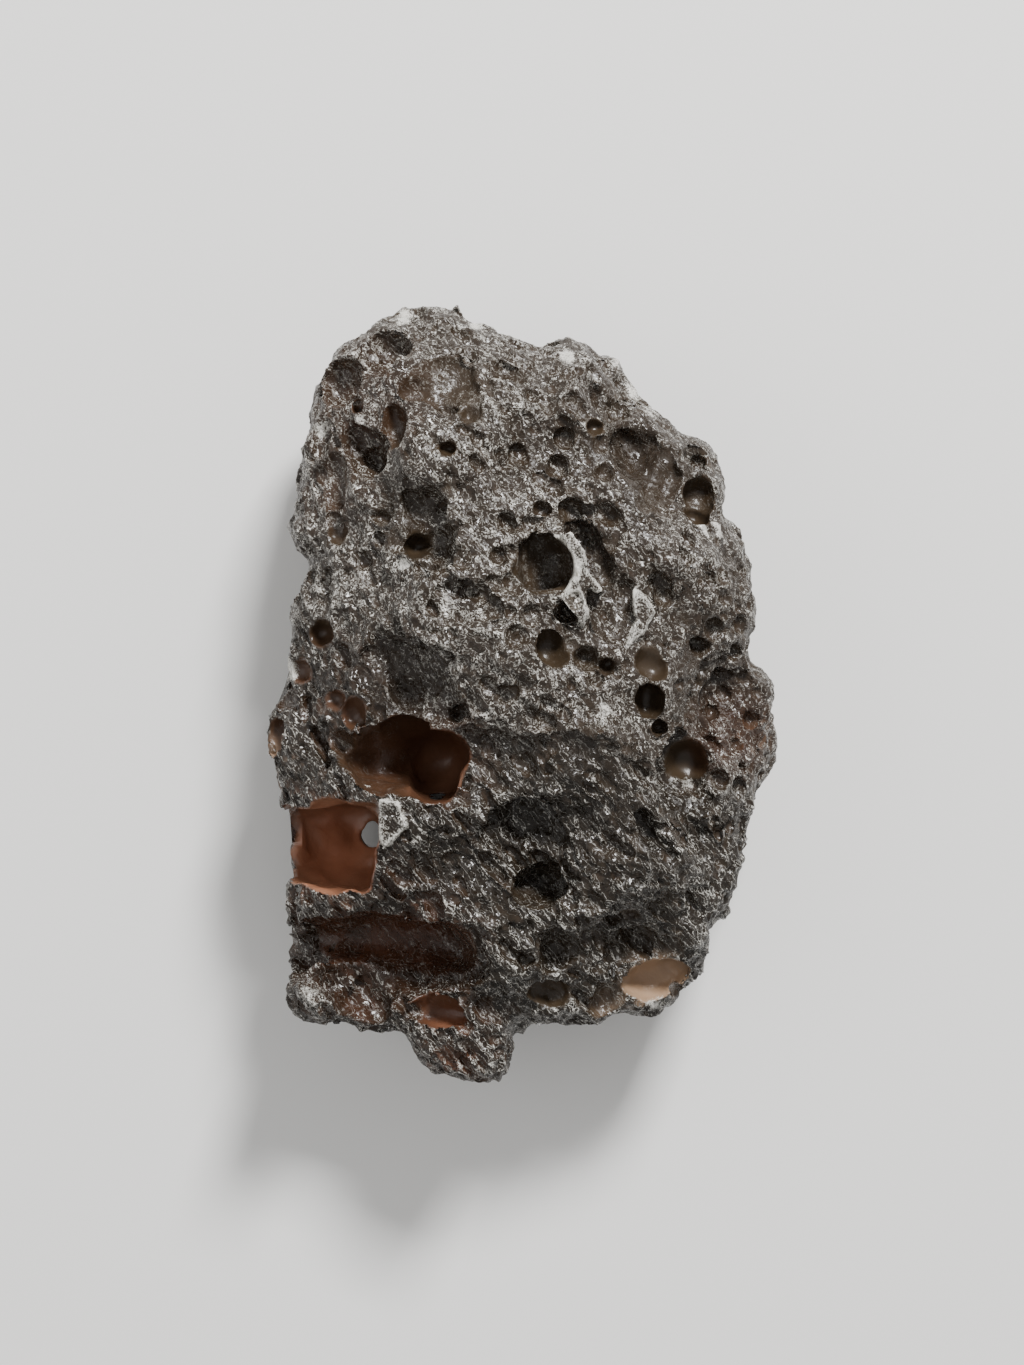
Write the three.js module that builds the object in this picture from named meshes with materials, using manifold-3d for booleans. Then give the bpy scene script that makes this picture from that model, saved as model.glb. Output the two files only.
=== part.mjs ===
// A tektite: one lump of natural glass, full of burst bubbles, lying on its back.
// Millimetres, +Z up, +Y along the stone, with the origin in the middle of its footprint, on the ground.
import * as THREE from "three";
import { mergeVertices } from "three/addons/utils/BufferGeometryUtils.js";
import Module from "manifold-3d";

const wasm = await Module();
wasm.setup();

// Driving dimensions
const waist = 7.4; // height of the widest section above the ground
const crestHeight = 9.3; // top of the stone above the waist
const crestMiddle = [0.6, 1.5]; // where the stone is thickest
const crestFall = { across: 0.017, along: 0.009 }; // mm that the top falls at 1 mm from its crest
const undersideDepth = 6.6; // the underside below the waist, between the spots it rests on
const undersideRise = 0.003; // mm that the underside rises at 1 mm from the middle
const edgeRadius = 4.4; // how round the rim is between top and underside
const rimSwell = 0.3; // share of the swells that is left at the rim
const breakSoftness = 0.7; // how gently a broken face runs into the rest
const flowAngle = -50; // degrees from +X: the direction in which the molten glass was drawn out
const bodyDetail = 11; // subdivisions of the sphere that the lump is wrapped on
const bubbleFacet = 1.2; // size of a facet in a bubble's wall
const unevenness = 0.06; // how far a bubble is from a regular shape

// The stone's outline seen from above, anticlockwise from the peak.
const outline = [
  [-3.1, 20.0], [-5.8, 19.7], [-7.2, 19.3], [-9.2, 17.4], [-10.5, 16.0], [-10.7, 13.8], [-11.1, 11.4],
  [-11.6, 9.9], [-11.7, 8.6], [-11.3, 7.5], [-10.8, 6.8], [-11.9, 5.0], [-12.1, 4.0], [-11.9, 2.9],
  [-12.8, 0.8], [-13.2, -0.6], [-13.1, -2.4], [-12.3, -5.9], [-11.8, -7.8], [-11.8, -9.5], [-12.2, -10.7],
  [-11.9, -11.9], [-12.1, -13.7], [-11.7, -15.4], [-10.8, -16.6], [-8.4, -17.5], [-3.0, -17.9],
  [4.1, -17.2], [5.0, -16.6], [6.4, -16.6], [7.7, -15.8], [8.9, -14.6], [9.4, -13.4], [9.6, -12.0],
  [10.9, -11.4], [11.1, -9.5], [11.9, -7.8], [12.3, -5.3], [13.1, -3.0], [13.0, -1.3], [13.2, 0.3],
  [12.8, 1.3], [12.1, 1.9], [12.0, 4.2], [11.7, 6.4], [11.0, 8.0], [10.2, 9.1], [10.1, 11.0], [9.5, 12.7],
  [8.0, 13.3], [6.9, 15.0], [5.5, 16.4], [5.1, 17.2], [3.6, 18.2], [2.4, 18.4], [0.9, 17.9], [-1.1, 18.6],
  [-2.8, 19.4],
];

// Broken faces, nearly flat: a point on each, and the way it looks.
const brokenFaces = [
  { at: [-5.0, 18.4, 11.6], facing: [-0.1, 0.72, 0.69] }, // the slab at the peak
  { at: [-9.4, 13.5, 11.6], facing: [-0.55, 0.22, 0.8] }, // upper left
  { at: [6.6, 14.0, 12.0], facing: [0.52, 0.38, 0.76] }, // upper right
  { at: [10.4, -2.5, 12.4], facing: [0.6, -0.05, 0.8] }, // right flank
  { at: [-1.0, -7.0, 15.4], facing: [-0.2, -0.27, 0.94] }, // below the ridge that crosses the middle
  { at: [5.5, -14.4, 11.6], facing: [0.22, -0.55, 0.8] }, // lower end
  { at: [-11.2, 3.0, 10.8], facing: [-0.72, 0.05, 0.69] }, // left flank
  { at: [3.0, 17.0, 3.4], facing: [0.2, 0.75, -0.63] }, // under the peak
  { at: [11.0, 5.5, 3.2], facing: [0.7, 0.2, -0.68] }, // under the right flank
];

// Knobs that stand out of the lump: the one that hangs at the lower end, and one on its left corner.
const knobs = [
  { middle: [-3.05, -17.5, 8.8], radii: [2.75, 2.5, 2.9], turn: 4, square: 3 },
  { middle: [-10.5, -15.3, 8.9], radii: [1.6, 1.6, 3.0], turn: 30, square: 2 },
];

// Worn spots on the underside that the stone rests on: place and radius.
const restingSpots = [
  { at: [-4.8, -10.0], radius: 2.9 },
  { at: [6.2, -4.5], radius: 3.0 },
  { at: [-2.0, 9.5], radius: 3.2 },
];
const spotDrop = 1.75; // how far a resting spot would stand out if it weren't worn flat

// Long swells of the whole surface: direction and turns per mm, phase, height.
const swells = [
  { wave: [0.55, 0.31, 0.2], phase: 0.4, height: 0.26 },
  { wave: [-0.42, 0.66, 0.35], phase: 2.1, height: 0.22 },
  { wave: [0.93, 0.78, -0.4], phase: 4.0, height: 0.15 },
  { wave: [-1.2, 0.5, 0.9], phase: 1.2, height: 0.11 },
  { wave: [0.35, -1.35, 0.8], phase: 5.2, height: 0.1 },
];

// Burst bubbles on the upper face. "sunk" is how far the middle lies below the surface, "radii" are along
// X, Y and Z before it turns, and "turn" is in degrees about Z. A "square" of 2 is an ellipsoid, and a
// larger one has flatter walls.
const bubbles = [
  // the broken hollow at the left, with smaller bubbles round it
  { at: [-7.4, 0.6], sunk: -0.3, radii: [4.7, 3.1, 2.2], turn: -38 },
  { at: [-10.3, 3.1], sunk: 0.2, radii: [0.9, 0.8, 1.2], turn: 0 },
  { at: [-11.4, 1.1], sunk: 0.4, radii: [0.62, 0.6, 1.0], turn: 0 },
  { at: [-9.6, -0.3], sunk: 0.5, radii: [0.55, 0.6, 0.9], turn: 0 },
  { at: [-8.7, -1.0], sunk: 0.5, radii: [0.9, 0.8, 1.2], turn: -20 },
  { at: [-7.0, -0.4], sunk: 0.3, radii: [1.0, 0.85, 1.1], turn: 0 },
  { at: [-9.2, -2.5], sunk: 0.7, radii: [1.1, 0.6, 1.1], turn: -30 },
  // the great bubble that opens through its floor
  { at: [-6.3, -3.0], sunk: 1.1, radii: [2.6, 2.0, 4.0], turn: -8 },
  { at: [-4.4, -3.5], sunk: 2.2, radii: [2.2, 1.9, 4.6], turn: -15 },
  // the long hollow at the lower left, and the pits under it
  { at: [-9.4, -12.7], sunk: 0.5, radii: [2.9, 1.2, 3.0], turn: 2, square: 2.6 },
  { at: [-6.0, -12.8], sunk: 0.9, radii: [3.3, 1.35, 3.4], turn: -3, square: 2.6 },
  { at: [-3.6, -13.2], sunk: -0.2, radii: [2.0, 1.7, 1.8], turn: -40 },
  { at: [-7.6, -13.9], sunk: -0.6, radii: [4.9, 2.3, 2.6], turn: -3 },
  { at: [-11.5, -13.2], sunk: 0.4, radii: [1.6, 1.3, 2.2], turn: 0 },
  { at: [-8.1, -16.0], sunk: 0.4, radii: [1.35, 1.0, 1.5], turn: -20 },
  { at: [-4.2, -16.2], sunk: -0.2, radii: [1.6, 0.95, 1.1], turn: -10 },
  // the round dish below the middle, and the deep pit in it
  { at: [0.6, -8.9], sunk: -0.5, radii: [2.9, 2.7, 1.9], turn: 0 },
  { at: [1.0, -9.7], sunk: 1.2, radii: [1.15, 1.1, 2.4], turn: 0 },
  // the deep bubble above the middle, and the ones behind its glassy rim
  { at: [1.0, 6.5], sunk: 0.7, radii: [1.5, 1.6, 2.4], turn: 40 },
  { at: [3.4, 7.1], sunk: 0.3, radii: [0.85, 1.8, 1.5], turn: 30 },
  { at: [2.6, 9.2], sunk: 0.2, radii: [0.65, 0.55, 0.9], turn: -12 },
  { at: [4.3, 8.9], sunk: 0.2, radii: [0.8, 0.55, 0.9], turn: -30 },
  { at: [4.7, 4.2], sunk: 0.0, radii: [1.15, 2.0, 1.2], turn: 5 },
  { at: [2.35, 4.1], sunk: 0.3, radii: [0.75, 0.5, 0.9], turn: -30 },
  { at: [1.55, 2.1], sunk: 0.4, radii: [1.1, 0.75, 1.3], turn: -40 },
  { at: [3.2, 1.75], sunk: 0.2, radii: [0.65, 0.8, 1.0], turn: 20 },
  { at: [6.5, 1.7], sunk: 0.1, radii: [1.0, 1.0, 0.9], turn: 0 },
  { at: [6.3, -0.3], sunk: 0.6, radii: [0.75, 0.75, 1.4], turn: 0 },
  { at: [8.5, -4.0], sunk: -0.1, radii: [1.6, 2.1, 1.2], turn: 20 },
  { at: [8.3, -3.4], sunk: 0.8, radii: [1.0, 1.0, 1.5], turn: 0 },
  // upper left
  { at: [-5.0, 8.5], sunk: 0.35, radii: [1.6, 1.65, 1.6], turn: 0, square: 3 },
  { at: [-5.15, 7.5], sunk: 1.1, radii: [0.75, 0.65, 1.7], turn: 10 },
  { at: [-9.75, 10.8], sunk: -0.3, radii: [0.9, 1.5, 1.3], turn: 5 },
  { at: [-8.0, 12.2], sunk: -0.4, radii: [1.6, 1.15, 1.4], turn: -30 },
  { at: [-6.45, 13.4], sunk: -0.3, radii: [0.72, 1.1, 1.0], turn: 8 },
  { at: [-2.6, 14.1], sunk: 0.1, radii: [0.55, 0.6, 0.8], turn: 0 },
  { at: [-2.8, 9.8], sunk: 0.0, radii: [1.2, 0.7, 0.9], turn: -32 },
  { at: [-4.0, 15.9], sunk: -0.4, radii: [2.1, 1.9, 1.6], turn: -15 },
  { at: [-7.1, 17.4], sunk: -0.2, radii: [1.6, 1.1, 1.1], turn: -15 },
  { at: [-9.2, 15.9], sunk: -0.4, radii: [1.5, 1.3, 1.2], turn: -30 },
  { at: [-3.5, 4.6], sunk: -0.2, radii: [1.8, 0.9, 0.9], turn: -12 },
  // upper right
  { at: [7.1, 10.3], sunk: 0.1, radii: [1.35, 1.5, 1.5], turn: 10 },
  { at: [5.9, 12.2], sunk: -0.2, radii: [2.4, 1.4, 1.4], turn: -60 },
  { at: [4.9, 14.5], sunk: -0.3, radii: [1.5, 0.9, 1.1], turn: -50 },
  { at: [8.9, 9.9], sunk: 0.2, radii: [0.85, 1.1, 1.5], turn: 0 },
  { at: [8.8, 9.1], sunk: 0.5, radii: [0.8, 0.6, 1.3], turn: -30 },
  // drawn out along the flow, lower right
  { at: [4.5, -7.8], sunk: 0.1, radii: [1.4, 1.05, 1.2], turn: -35 },
  { at: [7.2, -7.9], sunk: -0.2, radii: [2.4, 0.7, 0.9], turn: -52 },
  { at: [9.4, -7.8], sunk: -0.1, radii: [1.6, 0.6, 0.9], turn: -60 },
  { at: [3.6, -3.6], sunk: -0.2, radii: [2.6, 0.8, 0.9], turn: -40 },
  { at: [1.8, -13.0], sunk: 0.4, radii: [0.95, 1.2, 1.4], turn: -20 },
  { at: [5.4, -13.2], sunk: 0.1, radii: [1.1, 0.65, 1.0], turn: 0 },
  { at: [6.8, -14.7], sunk: 0.0, radii: [1.8, 1.15, 1.5], turn: 12 },
  { at: [4.6, -15.7], sunk: -0.2, radii: [1.2, 1.0, 1.1], turn: 0 },
];

// Hollows that reach right through or out at the side: middle and radii in all three directions.
const deepHollows = [
  { middle: [-10.6, -7.75, 12.0], radii: [3.4, 2.2, 6.6], turn: 2, square: 4 }, // the notch in the left edge
  { middle: [-7.75, -7.4, 2.4], radii: [0.8, 0.95, 4.0], turn: 0 }, // hole in the notch's back wall
  { middle: [-4.1, -6.05, 4.8], radii: [1.7, 1.15, 7.4], turn: -10 }, // hole in the floor of the great bubble
  // underneath and round the sides
  { middle: [-1.2, 2.6, -0.4], radii: [3.6, 2.5, 3.0], turn: 40 },
  { middle: [3.9, 9.8, 0.4], radii: [2.3, 2.9, 2.7], turn: -20 },
  { middle: [0.4, -12.2, 0.2], radii: [2.9, 1.9, 2.4], turn: -35 },
  { middle: [-6.2, 15.6, 2.2], radii: [2.2, 1.7, 2.4], turn: 25 },
  { middle: [13.1, -8.4, 6.2], radii: [2.2, 2.3, 1.9], turn: 0 },
  { middle: [12.8, 5.6, 6.9], radii: [1.7, 2.6, 2.3], turn: 15 },
  { middle: [-12.9, 4.6, 5.8], radii: [1.5, 2.4, 2.0], turn: 0 },
  { middle: [4.6, -18.2, 5.6], radii: [2.6, 1.9, 2.1], turn: 0 },
];

// Burst bubbles round the sides and underneath, on a spiral from "from" down to "to" on the unit sphere.
const sideBubbles = { count: 24, from: 0.42, to: -0.97, smallest: 0.55, largest: 1.5 };
const sideBubbleSunk = 0.35; // share of its radius
const sideBubbleStretch = 1.2; // how much longer it is along the flow
const goldenTurn = Math.PI * (3 - Math.sqrt(5));

const middle = new THREE.Vector3(0, 0, waist);
const up = new THREE.Vector3(0, 0, 1);
const flow = new THREE.Vector3(1, 0, 0).applyAxisAngle(up, THREE.MathUtils.degToRad(flowAngle));

// How far a place in the plan lies inside the outline; negative outside it.
function insideOutline(x, y) {
  let nearest = Infinity;
  let inside = false;
  outline.forEach(([ax, ay], i) => {
    const [bx, by] = outline[(i + 1) % outline.length];
    const [ex, ey] = [bx - ax, by - ay];
    const along = THREE.MathUtils.clamp(((x - ax) * ex + (y - ay) * ey) / (ex * ex + ey * ey), 0, 1);
    nearest = Math.min(nearest, Math.hypot(x - ax - along * ex, y - ay - along * ey));
    if (ay > y !== by > y && x < ax + ((y - ay) / (by - ay)) * (bx - ax)) inside = !inside;
  });
  return inside ? nearest : -nearest;
}

// Height of the top above the waist: a dome with its crest along the flow.
function topRise(x, y) {
  const [dx, dy] = [x - crestMiddle[0], y - crestMiddle[1]];
  const along = dx * flow.x + dy * flow.y;
  const across = dy * flow.x - dx * flow.y;
  return crestHeight - crestFall.across * across ** 2 - crestFall.along * along ** 2;
}

// Depth of the underside below the waist, deeper at each resting spot.
function undersideDrop(x, y) {
  const spots = restingSpots.map(({ at, radius }) => {
    const share = Math.hypot(x - at[0], y - at[1]) / radius;
    return spotDrop * Math.exp(-(share ** 2));
  });
  return undersideDepth - undersideRise * (x * x + y * y) + Math.max(...spots);
}

// The greater of two distances, rounded where they cross.
function softMax(a, b, softness) {
  const overlap = Math.max(softness - Math.abs(a - b), 0) / softness;
  return Math.max(a, b) + (softness * overlap ** 2) / 4;
}

// Below zero in the lump of glass and above zero outside it, about in millimetres.
function lumpField(p) {
  const above = p.z - waist;
  const reach = Math.max(above > 0 ? topRise(p.x, p.y) : undersideDrop(p.x, p.y), edgeRadius);
  const inset = insideOutline(p.x, p.y);
  const rim = Math.max(edgeRadius - inset, 0);
  const wall = Math.max(Math.abs(above) - (reach - edgeRadius), 0);
  let field = Math.hypot(rim, wall) - edgeRadius;
  brokenFaces.forEach(({ at, facing }) => {
    const look = new THREE.Vector3(...facing).normalize();
    field = softMax(field, look.dot(new THREE.Vector3(...at).negate().add(p)), breakSoftness);
  });
  const swellShare = THREE.MathUtils.clamp(inset / edgeRadius, rimSwell, 1);
  swells.forEach(({ wave, phase, height }) => {
    field += swellShare * height * Math.sin(wave[0] * p.x + wave[1] * p.y + wave[2] * p.z + phase);
  });
  return field;
}

// The last place inside the lump from a point, going straight one way.
function surfaceFrom(start, direction) {
  let [inside, outside] = [0, 40];
  for (let i = 0; i < 30; i++) {
    const half = (inside + outside) / 2;
    if (lumpField(start.clone().addScaledVector(direction, half)) < 0) inside = half;
    else outside = half;
  }
  return start.clone().addScaledVector(direction, inside);
}

function solidOf(geometry) {
  const bare = geometry.clone();
  bare.deleteAttribute("normal");
  bare.deleteAttribute("uv");
  const merged = mergeVertices(bare, 1e-4);
  return new wasm.Manifold(
    new wasm.Mesh({
      numProp: 3,
      vertProperties: merged.attributes.position.array,
      triVerts: new Uint32Array(merged.index.array),
    }),
  );
}

// Moves each point of a unit sphere to where "place" says.
function wrappedSphere(detail, place) {
  const geometry = new THREE.IcosahedronGeometry(1, detail);
  const position = geometry.attributes.position;
  const point = new THREE.Vector3();
  for (let i = 0; i < position.count; i++) {
    point.fromBufferAttribute(position, i).normalize();
    point.copy(place(point));
    position.setXYZ(i, point.x, point.y, point.z);
  }
  return geometry;
}

// A bubble's hollow, or a knob: a rounded shape that is never quite regular, each by its own number.
function roundedSolid(centre, radii, frame, square, number) {
  const detail = Math.min(Math.floor((radii[0] + radii[1]) / 2 / bubbleFacet), 4);
  return solidOf(
    wrappedSphere(detail, (n) => {
      const sum = Math.abs(n.x) ** square + Math.abs(n.y) ** square + Math.abs(n.z) ** square;
      const waves = Math.sin(3.1 * n.x + 1.7 * number) + Math.sin(3.7 * n.y + 2.3 * number);
      const reach = sum ** (-1 / square) * (1 + unevenness * waves);
      return new THREE.Vector3(...radii).multiply(n).multiplyScalar(reach).applyMatrix4(frame).add(centre);
    }),
  );
}

const turned = (degrees) => new THREE.Matrix4().makeRotationZ(THREE.MathUtils.degToRad(degrees));

function faceBubbles() {
  return bubbles.map(({ at, sunk, radii, turn, square = 2 }, i) => {
    const centre = surfaceFrom(new THREE.Vector3(...at, waist), up);
    centre.z -= sunk;
    return roundedSolid(centre, radii, turned(turn), square, i);
  });
}

function placedSolids(shapes) {
  return shapes.map(({ middle: at, radii, turn, square = 2 }, i) =>
    roundedSolid(new THREE.Vector3(...at), radii, turned(turn), square, i),
  );
}

// A number from 0 to 1 that looks like chance, and is the same every time.
const chance = (n) => Math.abs((Math.sin(12.9898 * (n + 1)) * 43758.5453) % 1);

function spiralBubbles() {
  const { count, from, to, smallest, largest } = sideBubbles;
  return Array.from({ length: count }, (_, i) => {
    const height = from + ((to - from) * (i + 0.5)) / count;
    const outward = new THREE.Vector3().setFromSphericalCoords(1, Math.acos(height), i * goldenTurn);
    outward.set(outward.z, outward.x, outward.y);
    const radius = smallest + (largest - smallest) * chance(i) ** 2;
    const centre = surfaceFrom(middle, outward).addScaledVector(outward, -sideBubbleSunk * radius);
    const frame = new THREE.Matrix4().lookAt(outward, new THREE.Vector3(), flow);
    const radii = [radius / sideBubbleStretch, radius * sideBubbleStretch, radius];
    return roundedSolid(centre, radii, frame, 2, i);
  });
}

function groundedLump() {
  const lump = solidOf(wrappedSphere(bodyDetail, (n) => surfaceFrom(middle, n.clone())));
  const room = new THREE.BoxGeometry(60, 60, 40).translate(0, 0, 20);
  return lump.intersect(solidOf(room));
}

function tektiteGeometry() {
  let stone = groundedLump();
  for (const knob of placedSolids(knobs)) stone = stone.add(knob);
  for (const hollow of [...faceBubbles(), ...placedSolids(deepHollows), ...spiralBubbles()]) {
    stone = stone.subtract(hollow);
  }
  const { vertProperties, triVerts } = stone.getMesh();
  const geometry = new THREE.BufferGeometry();
  geometry.setAttribute("position", new THREE.BufferAttribute(vertProperties, 3));
  geometry.setIndex(new THREE.BufferAttribute(triVerts, 1));
  geometry.computeVertexNormals();
  return geometry;
}

const smokyGlass = new THREE.MeshStandardMaterial({ color: 0x3a3634, roughness: 0.45, metalness: 0 });
const tektite = new THREE.Mesh(tektiteGeometry(), smokyGlass);
tektite.name = "tektite";

const stone = new THREE.Group();
stone.add(tektite);
export default stone;
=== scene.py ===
import math

import bpy
import numpy as np
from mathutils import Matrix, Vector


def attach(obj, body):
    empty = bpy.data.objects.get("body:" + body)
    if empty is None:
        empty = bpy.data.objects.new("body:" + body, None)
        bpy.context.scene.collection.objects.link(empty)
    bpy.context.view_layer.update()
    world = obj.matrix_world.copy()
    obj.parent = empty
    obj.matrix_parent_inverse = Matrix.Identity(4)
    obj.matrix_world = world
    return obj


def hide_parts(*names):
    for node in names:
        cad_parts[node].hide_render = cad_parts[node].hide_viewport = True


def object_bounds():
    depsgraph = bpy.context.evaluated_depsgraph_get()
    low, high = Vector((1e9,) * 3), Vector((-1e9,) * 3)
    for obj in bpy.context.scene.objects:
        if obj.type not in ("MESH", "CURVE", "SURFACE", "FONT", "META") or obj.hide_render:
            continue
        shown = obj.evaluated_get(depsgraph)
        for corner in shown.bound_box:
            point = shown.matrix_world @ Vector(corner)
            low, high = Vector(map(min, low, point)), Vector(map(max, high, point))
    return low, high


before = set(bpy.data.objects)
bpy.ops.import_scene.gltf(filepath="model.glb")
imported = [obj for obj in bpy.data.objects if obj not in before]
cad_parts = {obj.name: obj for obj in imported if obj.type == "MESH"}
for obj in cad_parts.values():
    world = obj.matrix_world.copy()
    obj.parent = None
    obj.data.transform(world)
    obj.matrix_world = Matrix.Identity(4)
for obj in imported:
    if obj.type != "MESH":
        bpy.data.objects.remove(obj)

# A tektite, a lump of natural glass full of burst bubbles, lying on its back under a camera that looks
# straight down. The scene is in metres and the stone's own values are in millimetres, both with +Z up and
# +Y along the stone, towards its peak.
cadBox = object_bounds()
mm = 0.001
scene = bpy.context.scene

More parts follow.
